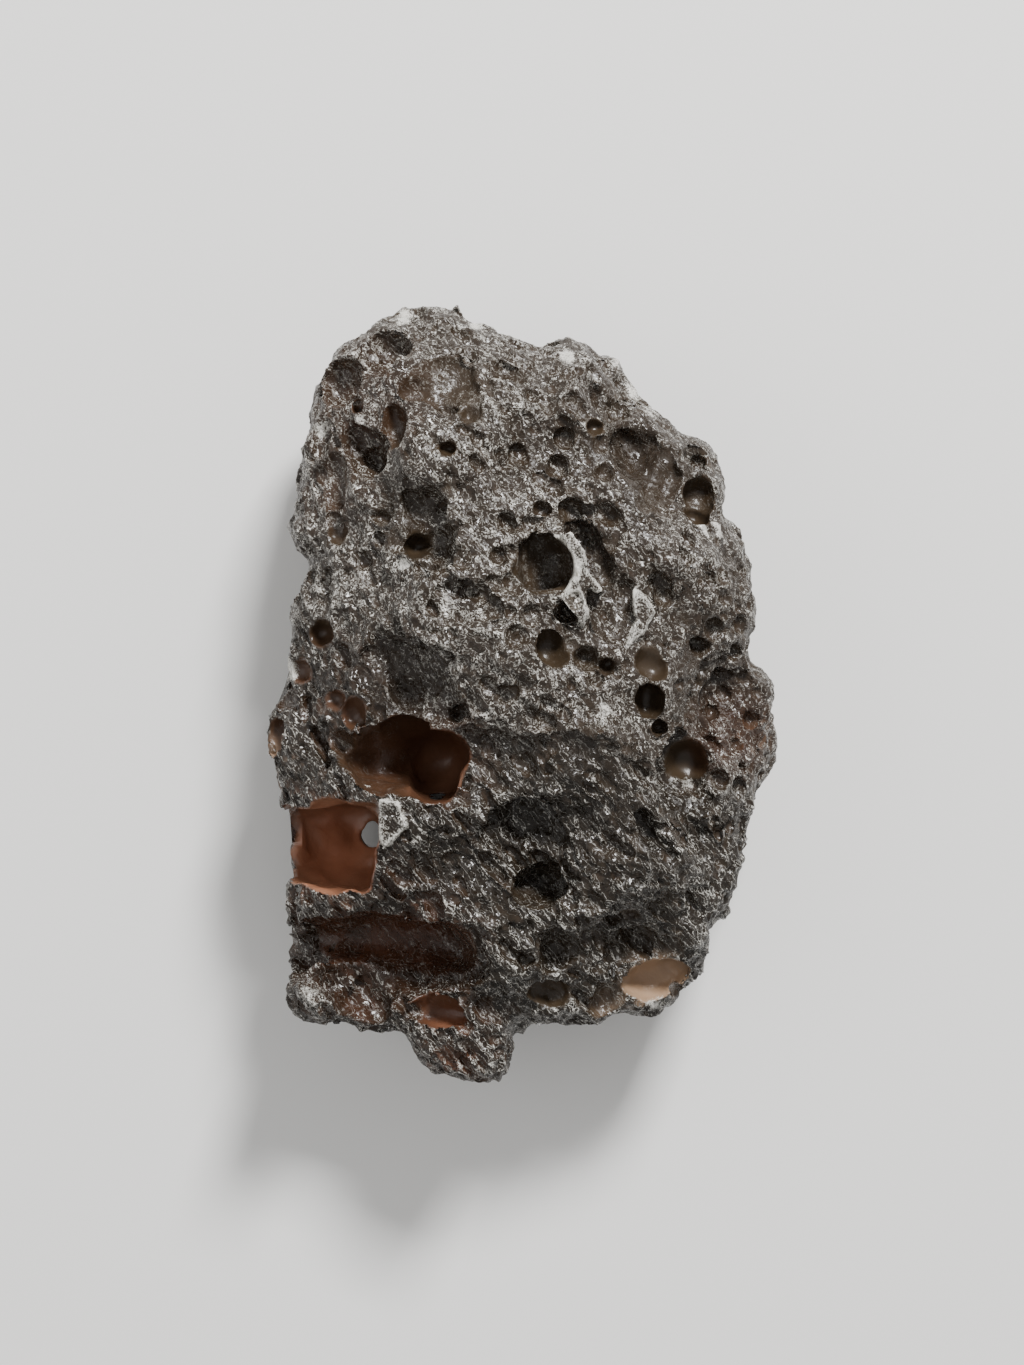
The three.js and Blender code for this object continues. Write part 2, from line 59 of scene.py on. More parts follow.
# The stone's own values. The lump and its bubbles are those of the solid, but for two small bubbles near the
# middle that are shallower here.
stone = {
    "waist": 7.4,  # height of the widest section
    "crestHeight": 9.3,  # top above the waist
    "crestMiddle": (0.6, 1.5),
    "crestFall": (0.017, 0.009),  # mm that the top falls at 1 mm from its crest, across and along
    "undersideDepth": 6.6,
    "undersideRise": 0.003,
    "edgeRadius": 4.4,  # roundness of the rim
    "rimSwell": 0.3,  # share of the swells left at the rim
    "breakSoftness": 0.7,
    "flowAngle": -50,  # degrees from +X: the way the molten glass was drawn out
    "unevenness": 0.06,
    "outline": [  # from above, anticlockwise from the peak
        (-3.1, 20.0), (-5.8, 19.7), (-7.2, 19.3), (-9.2, 17.4), (-10.5, 16.0), (-10.7, 13.8),
        (-11.1, 11.4), (-11.6, 9.9), (-11.7, 8.6), (-11.3, 7.5), (-10.8, 6.8), (-11.9, 5.0),
        (-12.1, 4.0), (-11.9, 2.9), (-12.8, 0.8), (-13.2, -0.6), (-13.1, -2.4), (-12.3, -5.9),
        (-11.8, -7.8), (-11.8, -9.5), (-12.2, -10.7), (-11.9, -11.9), (-12.1, -13.7), (-11.7, -15.4),
        (-10.8, -16.6), (-8.4, -17.5), (-3.0, -17.9), (4.1, -17.2), (5.0, -16.6), (6.4, -16.6),
        (7.7, -15.8), (8.9, -14.6), (9.4, -13.4), (9.6, -12.0), (10.9, -11.4), (11.1, -9.5),
        (11.9, -7.8), (12.3, -5.3), (13.1, -3.0), (13.0, -1.3), (13.2, 0.3), (12.8, 1.3), (12.1, 1.9),
        (12.0, 4.2), (11.7, 6.4), (11.0, 8.0), (10.2, 9.1), (10.1, 11.0), (9.5, 12.7), (8.0, 13.3),
        (6.9, 15.0), (5.5, 16.4), (5.1, 17.2), (3.6, 18.2), (2.4, 18.4), (0.9, 17.9), (-1.1, 18.6),
        (-2.8, 19.4),
    ],
    "brokenFaces": [  # a point on each, and the way it looks
        ((-5.0, 18.4, 11.6), (-0.1, 0.72, 0.69)),  # the slab at the peak
        ((-9.4, 13.5, 11.6), (-0.55, 0.22, 0.8)),  # upper left
        ((6.6, 14.0, 12.0), (0.52, 0.38, 0.76)),  # upper right
        ((10.4, -2.5, 12.4), (0.6, -0.05, 0.8)),  # right flank
        ((-1.0, -7.0, 15.4), (-0.2, -0.27, 0.94)),  # below the ridge that crosses the middle
        ((5.5, -14.4, 11.6), (0.22, -0.55, 0.8)),  # lower end
        ((-11.2, 3.0, 10.8), (-0.72, 0.05, 0.69)),  # left flank
        ((3.0, 17.0, 3.4), (0.2, 0.75, -0.63)),  # under the peak
        ((11.0, 5.5, 3.2), (0.7, 0.2, -0.68)),  # under the right flank
    ],
    "restingSpots": [((-4.8, -10.0), 2.9), ((6.2, -4.5), 3.0), ((-2.0, 9.5), 3.2)],
    "spotDrop": 1.75,
    "swells": [  # direction and turns per mm, phase, height
        ((0.55, 0.31, 0.2), 0.4, 0.26),
        ((-0.42, 0.66, 0.35), 2.1, 0.22),
        ((0.93, 0.78, -0.4), 4.0, 0.15),
        ((-1.2, 0.5, 0.9), 1.2, 0.11),
        ((0.35, -1.35, 0.8), 5.2, 0.1),
    ],
    "knobs": [  # middle, radii, turn, squareness, polish
        ((-3.05, -17.5, 8.8), (2.75, 2.5, 2.9), 4, 3, 0),
        ((-10.5, -15.3, 8.9), (1.6, 1.6, 3.0), 30, 2, 0),
    ],
    "bubbles": [  # place on the upper face, how far the middle is sunk, radii, turn, squareness, polish
        ((-7.4, 0.6), -0.3, (4.7, 3.1, 2.2), -38, 2, 0.1),  # the broken hollow at the left
        ((-10.3, 3.1), 0.2, (0.9, 0.8, 1.2), 0, 2, 0.9),
        ((-11.4, 1.1), 0.4, (0.62, 0.6, 1.0), 0, 2, 1),
        ((-9.6, -0.3), 0.5, (0.55, 0.6, 0.9), 0, 2, 0.8),
        ((-8.7, -1.0), 0.5, (0.9, 0.8, 1.2), -20, 2, 0.9),
        ((-7.0, -0.4), 0.3, (1.0, 0.85, 1.1), 0, 2, 0.1),
        ((-9.2, -2.5), 0.7, (1.1, 0.6, 1.1), -30, 2, 0.6),
        ((-6.3, -3.0), 1.1, (2.6, 2.0, 4.0), -8, 2, 0.75),  # the bubble that opens through its floor
        ((-4.4, -3.5), 2.2, (2.2, 1.9, 4.6), -15, 2, 1),
        ((-9.4, -12.7), 0.5, (2.9, 1.2, 3.0), 2, 2.6, 0.55),  # the long hollow at the lower left
        ((-6.0, -12.8), 0.9, (3.3, 1.35, 3.4), -3, 2.6, 0.6),
        ((-3.6, -13.2), -0.2, (2.0, 1.7, 1.8), -40, 2, 0.35),
        ((-7.6, -13.9), -0.6, (4.9, 2.3, 2.6), -3, 2, 0.4),
        ((-11.5, -13.2), 0.4, (1.6, 1.3, 2.2), 0, 2, 0.4),
        ((-8.1, -16.0), 0.4, (1.35, 1.0, 1.5), -20, 2, 0.5),
        ((-4.2, -16.2), -0.2, (1.6, 0.95, 1.1), -10, 2, 0.8),
        ((0.6, -8.9), -0.5, (2.9, 2.7, 1.9), 0, 2, 0),  # the dish below the middle
        ((1.0, -9.7), 1.2, (1.15, 1.1, 2.4), 0, 2, 0.5),
        ((1.0, 6.5), 0.7, (1.5, 1.6, 2.4), 40, 2, 0.65),  # the deep bubble above the middle
        ((3.4, 7.1), 0.3, (0.85, 1.8, 1.5), 30, 2, 0.3),
        ((2.6, 9.2), 0.2, (0.65, 0.55, 0.9), -12, 2, 0.6),
        ((4.3, 8.9), 0.2, (0.8, 0.55, 0.9), -30, 2, 0.5),
        ((4.7, 4.2), 0.0, (1.15, 2.0, 1.2), 5, 2, 0.4),
        ((2.35, 4.1), 0.3, (0.75, 0.5, 0.9), -30, 2, 0.5),
        ((1.55, 2.1), 0.2, (1.1, 0.75, 1.1), -40, 2, 0.8),
        ((3.2, 1.75), 0.2, (0.65, 0.8, 1.0), 20, 2, 0.6),
        ((6.5, 1.7), 0.1, (1.0, 1.0, 0.9), 0, 2, 1),
        ((6.3, -0.3), 0.3, (0.75, 0.75, 1.1), 0, 2, 0.85),
        ((8.5, -4.0), -0.1, (1.6, 2.1, 1.2), 20, 2, 0.2),
        ((8.3, -3.4), 0.8, (1.0, 1.0, 1.5), 0, 2, 1),
        ((-5.0, 8.5), 0.35, (1.6, 1.65, 1.6), 0, 3, 0.45),
        ((-5.15, 7.5), 1.1, (0.75, 0.65, 1.7), 10, 2, 0.8),
        ((-9.75, 10.8), -0.3, (0.9, 1.5, 1.3), 5, 2, 0.6),
        ((-8.0, 12.2), -0.4, (1.6, 1.15, 1.4), -30, 2, 0.5),
        ((-6.45, 13.4), -0.3, (0.72, 1.1, 1.0), 8, 2, 0.7),
        ((-2.6, 14.1), 0.1, (0.55, 0.6, 0.8), 0, 2, 0.7),
        ((-2.8, 9.8), 0.0, (1.2, 0.7, 0.9), -32, 2, 0.4),
        ((-4.0, 15.9), -0.4, (2.1, 1.9, 1.6), -15, 2, 0.6),
        ((-7.1, 17.4), -0.2, (1.6, 1.1, 1.1), -15, 2, 0.4),
        ((-9.2, 15.9), -0.4, (1.5, 1.3, 1.2), -30, 2, 0.5),
        ((-3.5, 4.6), -0.2, (1.8, 0.9, 0.9), -12, 2, 0),
        ((7.1, 10.3), 0.1, (1.35, 1.5, 1.5), 10, 2, 0.5),
        ((5.9, 12.2), -0.2, (2.4, 1.4, 1.4), -60, 2, 0.4),
        ((4.9, 14.5), -0.3, (1.5, 0.9, 1.1), -50, 2, 0.4),
        ((8.9, 9.9), 0.2, (0.85, 1.1, 1.5), 0, 2, 0.7),
        ((8.8, 9.1), 0.5, (0.8, 0.6, 1.3), -30, 2, 0.9),
        ((4.5, -7.8), 0.1, (1.4, 1.05, 1.2), -35, 2, 0.5),
        ((7.2, -7.9), -0.2, (2.4, 0.7, 0.9), -52, 2, 0.1),
        ((9.4, -7.8), -0.1, (1.6, 0.6, 0.9), -60, 2, 0),
        ((3.6, -3.6), -0.2, (2.6, 0.8, 0.9), -40, 2, 0),
        ((1.8, -13.0), 0.4, (0.95, 1.2, 1.4), -20, 2, 0.5),
        ((5.4, -13.2), 0.1, (1.1, 0.65, 1.0), 0, 2, 0.5),
        ((6.8, -14.7), 0.0, (1.8, 1.15, 1.5), 12, 2, 0.8),  # the thin window at the lower right
        ((4.6, -15.7), -0.2, (1.2, 1.0, 1.1), 0, 2, 0.6),
    ],
    "deepHollows": [  # middle, radii, turn, squareness, polish
        ((-10.6, -7.75, 12.0), (3.4, 2.2, 6.6), 2, 4, 1),  # the notch in the left edge
        ((-7.75, -7.4, 2.4), (0.8, 0.95, 4.0), 0, 2, 1),  # hole in the notch's back wall
        ((-4.1, -6.05, 4.8), (1.7, 1.15, 7.4), -10, 2, 1),  # hole in the floor of the great bubble
        ((-1.2, 2.6, -0.4), (3.6, 2.5, 3.0), 40, 2, 0.8),
        ((3.9, 9.8, 0.4), (2.3, 2.9, 2.7), -20, 2, 0.5),
        ((0.4, -12.2, 0.2), (2.9, 1.9, 2.4), -35, 2, 0.9),
        ((-6.2, 15.6, 2.2), (2.2, 1.7, 2.4), 25, 2, 0.7),
        ((13.1, -8.4, 6.2), (2.2, 2.3, 1.9), 0, 2, 0.9),
        ((12.8, 5.6, 6.9), (1.7, 2.6, 2.3), 15, 2, 0.3),
        ((-12.9, 4.6, 5.8), (1.5, 2.4, 2.0), 0, 2, 1),
        ((4.6, -18.2, 5.6), (2.6, 1.9, 2.1), 0, 2, 0.6),
    ],
    "sideBubbles": {"count": 24, "from": 0.42, "to": -0.97, "smallest": 0.55, "largest": 1.5},
    "sideBubbleSunk": 0.35,
    "sideBubbleStretch": 1.2,
}

# What only the fine surface has, in millimetres.
skin = {
    "step": 0.15,  # size of a grid cell
    "seed": 7,
    "rimSoftness": (0.06, 0.7),  # of a polished bubble's rim, and what is added to it where it isn't polished
    "lumps": [(4.0, 0.15), (1.6, 0.14), (0.7, 0.06)],  # size and height of the crust's unevenness
    "wallLumps": (0.12, 0.16),  # unevenness as a share of a bubble's size, and added where it isn't polished
    "wallMix": (0.6, 0.5),  # of the middle and the smallest lumps, in that unevenness
    "knobLumps": 0.12,
    "knobBlend": 0.6,  # roundness of the corner between a knob and the lump
    "smallBubbles": [  # place on the upper face, how far sunk, radii, turn, squareness, polish
        ((-9.4, 8.1), 0.1, (0.55, 0.5, 0.6), 0, 2, 0.8),
        ((-7.1, 8.9), 0.2, (0.5, 0.32, 0.6), -10, 2, 0.6),
        ((-3.55, 10.2), 0.1, (0.3, 0.3, 0.5), 0, 2, 0.8),
        ((-3.7, 12.2), 0.1, (0.38, 0.36, 0.6), 0, 2, 1),
        ((-3.75, 7.35), 0.5, (0.42, 0.32, 1.0), 0, 2, 0.6),
        ((-8.25, 14.55), 0.2, (0.38, 0.36, 0.7), 0, 2, 1),
        ((3.75, 13.4), 0.2, (0.48, 0.44, 0.7), 0, 2, 1),
        ((1.0, 9.2), 0.1, (0.4, 0.3, 0.6), 0, 2, 0.6),
        ((4.2, 1.4), 0.3, (0.48, 0.44, 0.9), 0, 2, 0.7),
        ((6.85, -1.7), 0.2, (0.36, 0.32, 0.6), 0, 2, 0.7),
        ((-0.45, 0.1), 0.1, (0.38, 0.36, 0.5), 0, 2, 1),
        ((5.5, -11.3), 0.2, (0.42, 0.38, 0.7), 0, 2, 0.6),
        ((4.0, -12.25), 0.2, (0.46, 0.4, 0.7), -30, 2, 0.5),
        ((-10.3, -0.7), 0.2, (0.3, 0.5, 0.7), 0, 2, 0.6),
    ],
    "flakeRoot": 1.6,  # how far a flake goes down into the crust
    "flakeSunk": 0.35,  # how far below its height a flake's top is kept
    "flakes": [  # thin upright shells: middle, radii, first and last angle, thickness, height and lean
        ((1.15, 6.3), (1.6, 1.7), -55, 75, 0.3, 0.3, 0.1),
        ((-9.3, -6.3), (3.2, 1.6), 35, 75, 0.3, 0.2, 0.0),
    ],
    "shardThickness": 1.8,  # of a plate, downwards, most of it in the crust
    "shardEdge": 0.14,  # width of its white edge
    "splinterDepth": 0.7,  # how far below the crust a flake or plate is still white
    "shards": [  # glassy plates: corners from above, height above the crust, slope along X and Y, polish
        ([(1.8, 8.0), (2.5, 8.1), (3.1, 7.1), (3.3, 6.2), (4.2, 5.0), (3.6, 5.0), (2.9, 5.8), (2.6, 6.7)],
         0.2, (-0.3, 0.2), 0.3),
        ([(1.8, 4.9), (2.9, 5.25), (3.45, 4.0), (3.0, 3.3)], 0.5, (-0.4, 0.3), 0.35),
        ([(5.5, 5.4), (6.1, 4.9), (6.7, 4.1), (6.0, 3.0), (5.2, 2.3), (5.4, 3.0), (5.7, 3.7), (5.5, 4.4)],
         0.35, (-0.45, 0.0), 0.35),
        ([(-7.2, -5.2), (-6.2, -5.4), (-5.7, -6.6), (-6.2, -7.2), (-7.0, -7.9), (-7.2, -7.0)],
         0.0, (0.1, 0.1), 0.3),
        ([(8.8, 8.5), (9.3, 8.6), (9.5, 8.0), (9.0, 7.8)], 0.35, (0.3, 0.3), 0.8),
        ([(9.6, 8.8), (10.1, 8.6), (10.2, 7.9), (9.8, 7.9)], 0.3, (0.2, -0.1), 0.7),
    ],
    "pores": 3600,
    "poreRadii": (0.11, 0.55),
    "porePower": (4.6, 2.8),  # the higher, the fewer pores are large: ordinarily, and what froth takes off it
    "poreSunk": 0.4,  # share of its radius that a pore's middle is sunk at most
    "poreRim": 0.15,  # softness of its rim
    "poreKeep": (0.2, 1.2),  # share of the places left out, and added where the glass is polished
    "poreStretch": (1.3, 2.6),  # how much longer a pore may be along the flow, above the crest and below it
    "froth": [  # place and reach of the crust where pores are larger
        ((1.0, 12.3), 5.0), ((-1.5, 8.0), 3.0), ((5.5, 0.5), 3.5), ((-9.0, 7.0), 2.5),
    ],
    "crumb": [  # size, height and stretch along the flow of the crust's sharp-edged dishes
        (3.1, 0.2, 1.4), (1.6, 0.17, 2.0), (0.8, 0.11, 2.6), (0.45, 0.06, 2.0), (0.26, 0.035, 1.6),
    ],
    "grooves": (0.62, 0.18, 6.5),  # the same, for the furrows below the crest
    "grooveShare": 0.25,  # of the furrows that is left above the crest
    "crumbWarp": 0.2,  # how far the dishes are pushed out of round
    "warpSize": 0.5,
    "crumbPower": 1.5,  # the higher, the sharper the rims between dishes
    "polishedCrumb": 0.9,  # share of the crumb that polish takes away
    "edgeWidth": 0.15,
    "restFade": 0.3,  # height above the ground at which the crumb is whole
    "triangles": 196000,
    "hiddenShare": 0.6,  # how much sooner the faces under the stone and deep in it are thinned out
    "seenThrough": [(-4.1, -5.9), (-7.75, -7.4)],  # holes whose far rims show, and are thinned out less
    "spotFade": (0.4, 2),  # share of the waist's height where the spots below start, and how soon they are whole
    "paleAndGlintSpots": [  # place, radius and strength of the white: glass that is splintered white, and painted highlights where glassy folds and edges glint
        ((-10.7, -15.4), 1.1, 0.45), ((-12.0, 1.2), 0.6, 0.9), ((-10.2, 13.5), 0.45, 0.65),
        ((-8.2, 13.85), 0.35, 0.6), ((-6.0, 19.4), 0.5, 0.8), ((-2.3, 19.0), 0.35, 0.8),
        ((2.3, 17.2), 0.45, 0.8), ((4.8, 17.0), 0.3, 0.8), ((5.9, 15.6), 0.6, 0.7),
        ((6.6, 14.5), 0.6, 0.6), ((-6.1, 6.5), 0.4, 0.7), ((6.9, -15.9), 0.5, 0.7),
        ((1.6, 8.6), 0.45, 0.4), ((-1.5, 8.0), 0.3, 0.5), ((4.2, -0.8), 0.5, 0.5), ((8.4, -4.6), 0.4, 0.6),
    ],
    "thinSpots": [  # place, radius and strength of the thin glass that lets light through, where that light is painted into its colour
        ((6.8, -14.8), 1.9, 1.0), ((4.6, -15.8), 1.3, 0.5), ((11.9, -2.0), 1.4, 0.7),
        ((-4.4, -3.8), 1.7, 0.45), ((1.0, 6.5), 1.5, 0.08), ((9.3, 12.2), 1.3, 0.4),
        ((-11.8, 9.0), 1.4, 0.25), ((-12.3, -3.8), 1.8, 0.6), ((-4.1, -16.2), 1.4, 0.35),
        ((9.2, -12.3), 1.5, 0.6), ((-9.9, -8.0), 2.9, 0.8), ((-8.5, 15.3), 2.8, 0.3),
        ((-3.4, -18.3), 2.2, 0.6), ((-10.6, -2.6), 2.0, 0.35),
    ],
    "warmTintAndLightSpots": [  # place, radius and strength of the reddest glass: partly its own red tint, partly painted warm light coming through it
        ((-9.9, -8.0), 2.9, 1.0), ((-8.0, -8.6), 2.0, 0.9), ((-9.3, -13.2), 3.0, 1.0),
        ((-5.6, -13.0), 3.2, 1.0), ((-6.6, -3.2), 2.3, 0.4), ((-4.2, -3.6), 2.3, 0.6),
        ((-8.2, -16.0), 1.3, 0.8), ((-10.9, -6.0), 2.0, 0.6), ((-10.3, -0.5), 3.0, 0.35),
        ((-8.5, 15.0), 3.2, 0.25), ((-3.4, -18.0), 2.6, 0.8), ((-9.5, 10.5), 2.0, 0.2),
        ((10.8, -2.0), 2.0, 0.5),
    ],
    "frostSpots": [  # place, radius and how much more or less frosted the crust is there
        ((-4.0, 15.9), 2.1, -1.6), ((-2.8, 18.0), 1.5, 0.3), ((-5.25, 8.6), 1.9, -1.8),
        ((3.8, 7.0), 1.5, -1.3), ((6.3, 11.5), 2.5, -3.0), ((9.0, 10.0), 1.2, -0.9),
        ((-7.6, 12.0), 2.6, -0.4), ((-9.0, 16.0), 1.5, -0.6), ((4.7, 3.9), 1.5, -1.3),
        ((1.5, 11.5), 5.0, -0.7), ((3.0, 15.5), 2.2, -0.3), ((9.3, 1.0), 5.0, -1.6),
        ((0.6, -9.0), 2.8, -0.4), ((5.5, -9.0), 3.0, -0.35), ((-6.6, 0.5), 3.0, -1.9),
        ((-9.5, -1.8), 2.0, -0.7), ((-2.5, -15.0), 2.0, -0.3), ((-1.0, 7.5), 2.0, 0.3),
        ((-8.0, 6.5), 2.0, 0.3), ((2.5, -12.8), 2.0, -0.4), ((1.0, -3.5), 2.4, -0.3),
        ((-3.0, -17.4), 2.0, 0.7), ((10.5, -1.5), 2.5, -0.5), ((-9.5, -13.2), 2.2, -1.1),
        ((-5.8, -13.0), 2.6, -1.1), ((8.0, 3.0), 4.0, -0.3), ((-5.5, 3.2), 2.5, 0.3),
        ((-10.5, -2.5), 2.5, -0.5), ((-8.8, 1.3), 2.0, -0.5),
    ],
    "crestLine": [(-14, 5.5), (-9.0, 2.7), (-4.4, -1.1), (-1.0, -1.9), (3.7, -1.7), (6.6, -3.5), (14, -5.0)],
    "crestWidth": 1.6,  # over which the frosted glass above the crest gives way to the cleaner glass below
    "crestDrop": [0.0, 0.7, 0.9, 0.7, 0.5, 0.3, 0.0],  # depth of the trough below each corner of the crest
    "crestReach": (0.9, 4.0),  # how soon the trough is reached, and how soon it ends
    "crestFade": 3,  # height above the waist at which the trough is whole
    "crestShade": ([-5, -2, 5, 8], [0, 1, 1, 0]),  # along X, how strong the painted light and shadow at the crest are
    "crestLightAndShadow": [(0.35, -1, 1.2), (-0.9, 2.2, 1.4)],  # painted highlight along the crest and painted shadow in the trough below it: change, how far below the crest, and width
    # less frost below the crest: cleaner glass, and painted shade where the flank turns from the light
    "flankFrostAndShade": -2.1,
    "bowlFrost": 3,  # more on each mm that the crust stands out
    "ridgeReach": 1,  # cells round a place that tell a ridge from a hollow
    "bodyReach": 8,  # cells round a place that tell thick glass from thin
}

waist = stone["waist"]
flowAngle = math.radians(stone["flowAngle"])
flow = np.array([math.cos(flowAngle), math.sin(flowAngle), 0])


def softMax(a, b, softness):
    # the greater of two distances, rounded where they cross
    overlap = np.maximum(softness - np.abs(a - b), 0) / softness
    return np.maximum(a, b) + softness * overlap ** 2 / 4


def outlineField(x, y, corners):
    # distance to the nearest side of an outline, counted positive inside it
    corners = np.array(corners)
    nearest = np.full(x.shape, np.inf)
    inside = np.zeros(x.shape, bool)
    for (ax, ay), (bx, by) in zip(corners, np.roll(corners, -1, axis=0)):
        ex, ey = bx - ax, by - ay
        along = np.clip(((x - ax) * ex + (y - ay) * ey) / (ex * ex + ey * ey), 0, 1)
        nearest = np.minimum(nearest, np.hypot(x - ax - along * ex, y - ay - along * ey))
        if ey:
            inside ^= ((ay > y) != (by > y)) & (x < ax + (y - ay) / ey * ex)
    return np.where(inside, nearest, -nearest)


def lumpField(x, y, z):
    # below zero in the lump and above zero outside it: the distance to a slab whose top is a dome and whose
    # rim is round, then the greatest of that and each broken face, plus the swells
    dx, dy = x - stone["crestMiddle"][0], y - stone["crestMiddle"][1]
    across, along = dy * flow[0] - dx * flow[1], dx * flow[0] + dy * flow[1]
    top = stone["crestHeight"] - stone["crestFall"][0] * across ** 2 - stone["crestFall"][1] * along ** 2
    spots = [stone["spotDrop"] * np.exp(-((x - sx) ** 2 + (y - sy) ** 2) / radius ** 2)
             for (sx, sy), radius in stone["restingSpots"]]
    under = stone["undersideDepth"] - stone["undersideRise"] * (x * x + y * y) + np.maximum.reduce(spots)
    edge = stone["edgeRadius"]
    above = z - waist
    reach = np.maximum(np.where(above > 0, top, under), edge)
    inset = outlineField(x, y, stone["outline"])
    rim = np.maximum(edge - inset, 0)
    wall = np.maximum(np.abs(above) - (reach - edge), 0)
    field = np.hypot(rim, wall) - edge
    for point, way in stone["brokenFaces"]:
        out = np.array(way) / np.linalg.norm(way)
        beyond = out[0] * (x - point[0]) + out[1] * (y - point[1]) + out[2] * (z - point[2])
        field = softMax(field, beyond, stone["breakSoftness"])
    share = np.clip(inset / edge, stone["rimSwell"], 1)
    for wave, phase, height in stone["swells"]:
        field = field + share * height * np.sin(wave[0] * x + wave[1] * y + wave[2] * z + phase)
    return field


def surfaceFrom(start, direction):
    # the last places inside the lump from some points, each going straight its own way, by halving
    farthest, halvings = 40.0, 30
    low, high = np.zeros(len(start)), np.full(len(start), farthest)
    for _ in range(halvings):
        half = (low + high) / 2
        inside = lumpField(*(start + direction * half[:, None]).T) < 0
        low, high = np.where(inside, half, low), np.where(inside, high, half)
    return start + direction * low[:, None]


def turned(degrees):
    # three axes turned anticlockwise about +Z: the cosine and sine of the angle
    angle = math.radians(degrees)
    cosine, sine = math.cos(angle), math.sin(angle)
    return np.array([[cosine, -sine, 0], [sine, cosine, 0], [0, 0, 1]])


def facing(outward):
    # three directions at each point: across the flow, along it and outwards
    across = np.cross(flow, outward)
    across /= np.linalg.norm(across, axis=-1, keepdims=True)
    return np.stack([across, np.cross(outward, across), outward], axis=-1)


def chance(n):
    # a number from 0 to 1 that looks like chance, and is the same every time
    return np.abs(np.fmod(np.sin(12.9898 * (n + 1)) * 43758.5453, 1))


def faceBubbles(shapes):
    # bubbles of the upper face: each middle is straight above its place, where the lump ends, less what it is
    # sunk
    places = np.array([(x, y, waist) for (x, y), *_ in shapes])
    centres = surfaceFrom(places, np.array([[0, 0, 1.0]]))
    return [(centre - (0, 0, sunk), radii, turned(turn), square, number, polish)
            for number, (centre, (_, sunk, radii, turn, square, polish)) in enumerate(zip(centres, shapes))]


def placed(shapes):
    # bubbles, or knobs, whose middles are given
    return [(np.array(middle), radii, turned(turn), square, number, polish)
            for number, (middle, radii, turn, square, polish) in enumerate(shapes)]


def spiralBubbles():
    # even spacing on a sphere: equal steps of height and a golden angle between neighbours
    values = stone["sideBubbles"]
    number = np.arange(values["count"])
    height = values["from"] + (values["to"] - values["from"]) * (number + 0.5) / values["count"]
    around = number * math.pi * (3 - math.sqrt(5))
    level = np.sqrt(1 - height ** 2)
    outward = np.stack([level * np.cos(around), level * np.sin(around), height], axis=1)
    radius = values["smallest"] + (values["largest"] - values["smallest"]) * chance(number) ** 2
    centres = surfaceFrom(np.array([[0, 0, waist]]) + 0 * outward, outward)
    centres -= outward * (stone["sideBubbleSunk"] * radius)[:, None]
    stretch = stone["sideBubbleStretch"]
    return [(centre, (r / stretch, r * stretch, r), axes, 2, n, chance(n + 40))
            for centre, r, axes, n in zip(centres, radius, facing(outward), number)]


def bubbleField(points, bubble):
    # below zero in the bubble: how far along its own ray a point lies from the bubble's wall, which is an egg
    # squared off by a power and made uneven by two sine waves
    centre, radii, axes, square, number, _ = bubble
    away = points - centre
    share = away @ axes / np.array(radii)
    size = np.linalg.norm(share, axis=-1) + 1e-9
    nx, ny = share[..., 0] / size, share[..., 1] / size
    uneven = np.sin(3.1 * nx + 1.7 * number) + np.sin(3.7 * ny + 2.3 * number)
    reach = (np.abs(share) ** square).sum(-1) ** (1 / square) / (1 + stone["unevenness"] * uneven)
    return (1 - 1 / (reach + 1e-9)) * np.linalg.norm(away, axis=-1)


class Grid:
    # cells of one size in a box round the stone
    def __init__(self, low, high, step):
        self.low = np.array(low, float)
        self.step = step
        self.shape = tuple(int(math.ceil((b - a) / step)) + 1 for a, b in zip(low, high))
        self.axes = [a + step * np.arange(n) for a, n in zip(low, self.shape)]

    def window(self, centre, reach):
        # the part of the grid within a cube round a point
        first = np.maximum(np.floor((centre - reach - self.low) / self.step), 0).astype(int)
        last = np.minimum(np.ceil((centre + reach - self.low) / self.step) + 1, self.shape).astype(int)
        return tuple(slice(a, b) for a, b in zip(first, last))

    def points(self, window):
        # places of a part's grid corners
        parts = [axis[part] for axis, part in zip(self.axes, window)]
        return np.stack(np.meshgrid(*parts, indexing="ij"), -1)

    def sample(self, values, points):
        # straight-line mix of the eight grid values round each point
        at = np.clip((points - self.low) / self.step, 0, np.array(self.shape) - 1.001)
        first = at.astype(int)
        part = at - first
        total = 0
        for corner in np.ndindex(2, 2, 2):
            weight = np.prod(np.where(corner, part, 1 - part), axis=1)
            i, j, k = (first + corner).T
            total = total + weight * values[i, j, k]
        return total


def latticeNoise(grid, size, draw):
    # random numbers on a coarse lattice, joined by a cubic curve along each axis in turn, with a spread of 1
    cells = size / grid.step
    noise = draw.standard_normal([int(n / cells) + 5 for n in grid.shape]).astype(np.float32)
    for axis, count in enumerate(grid.shape):
        at = np.arange(count) / cells
        first = at.astype(int)
        t = (at - first).astype(np.float32).reshape([-1 if a == axis else 1 for a in range(3)])
        weights = [(1 - t) ** 3, 3 * t ** 3 - 6 * t ** 2 + 4, -3 * t ** 3 + 3 * t ** 2 + 3 * t + 1, t ** 3]
        noise = sum(np.take(noise, first + n, axis) * weight / 6 for n, weight in enumerate(weights))
    return noise / noise.std()


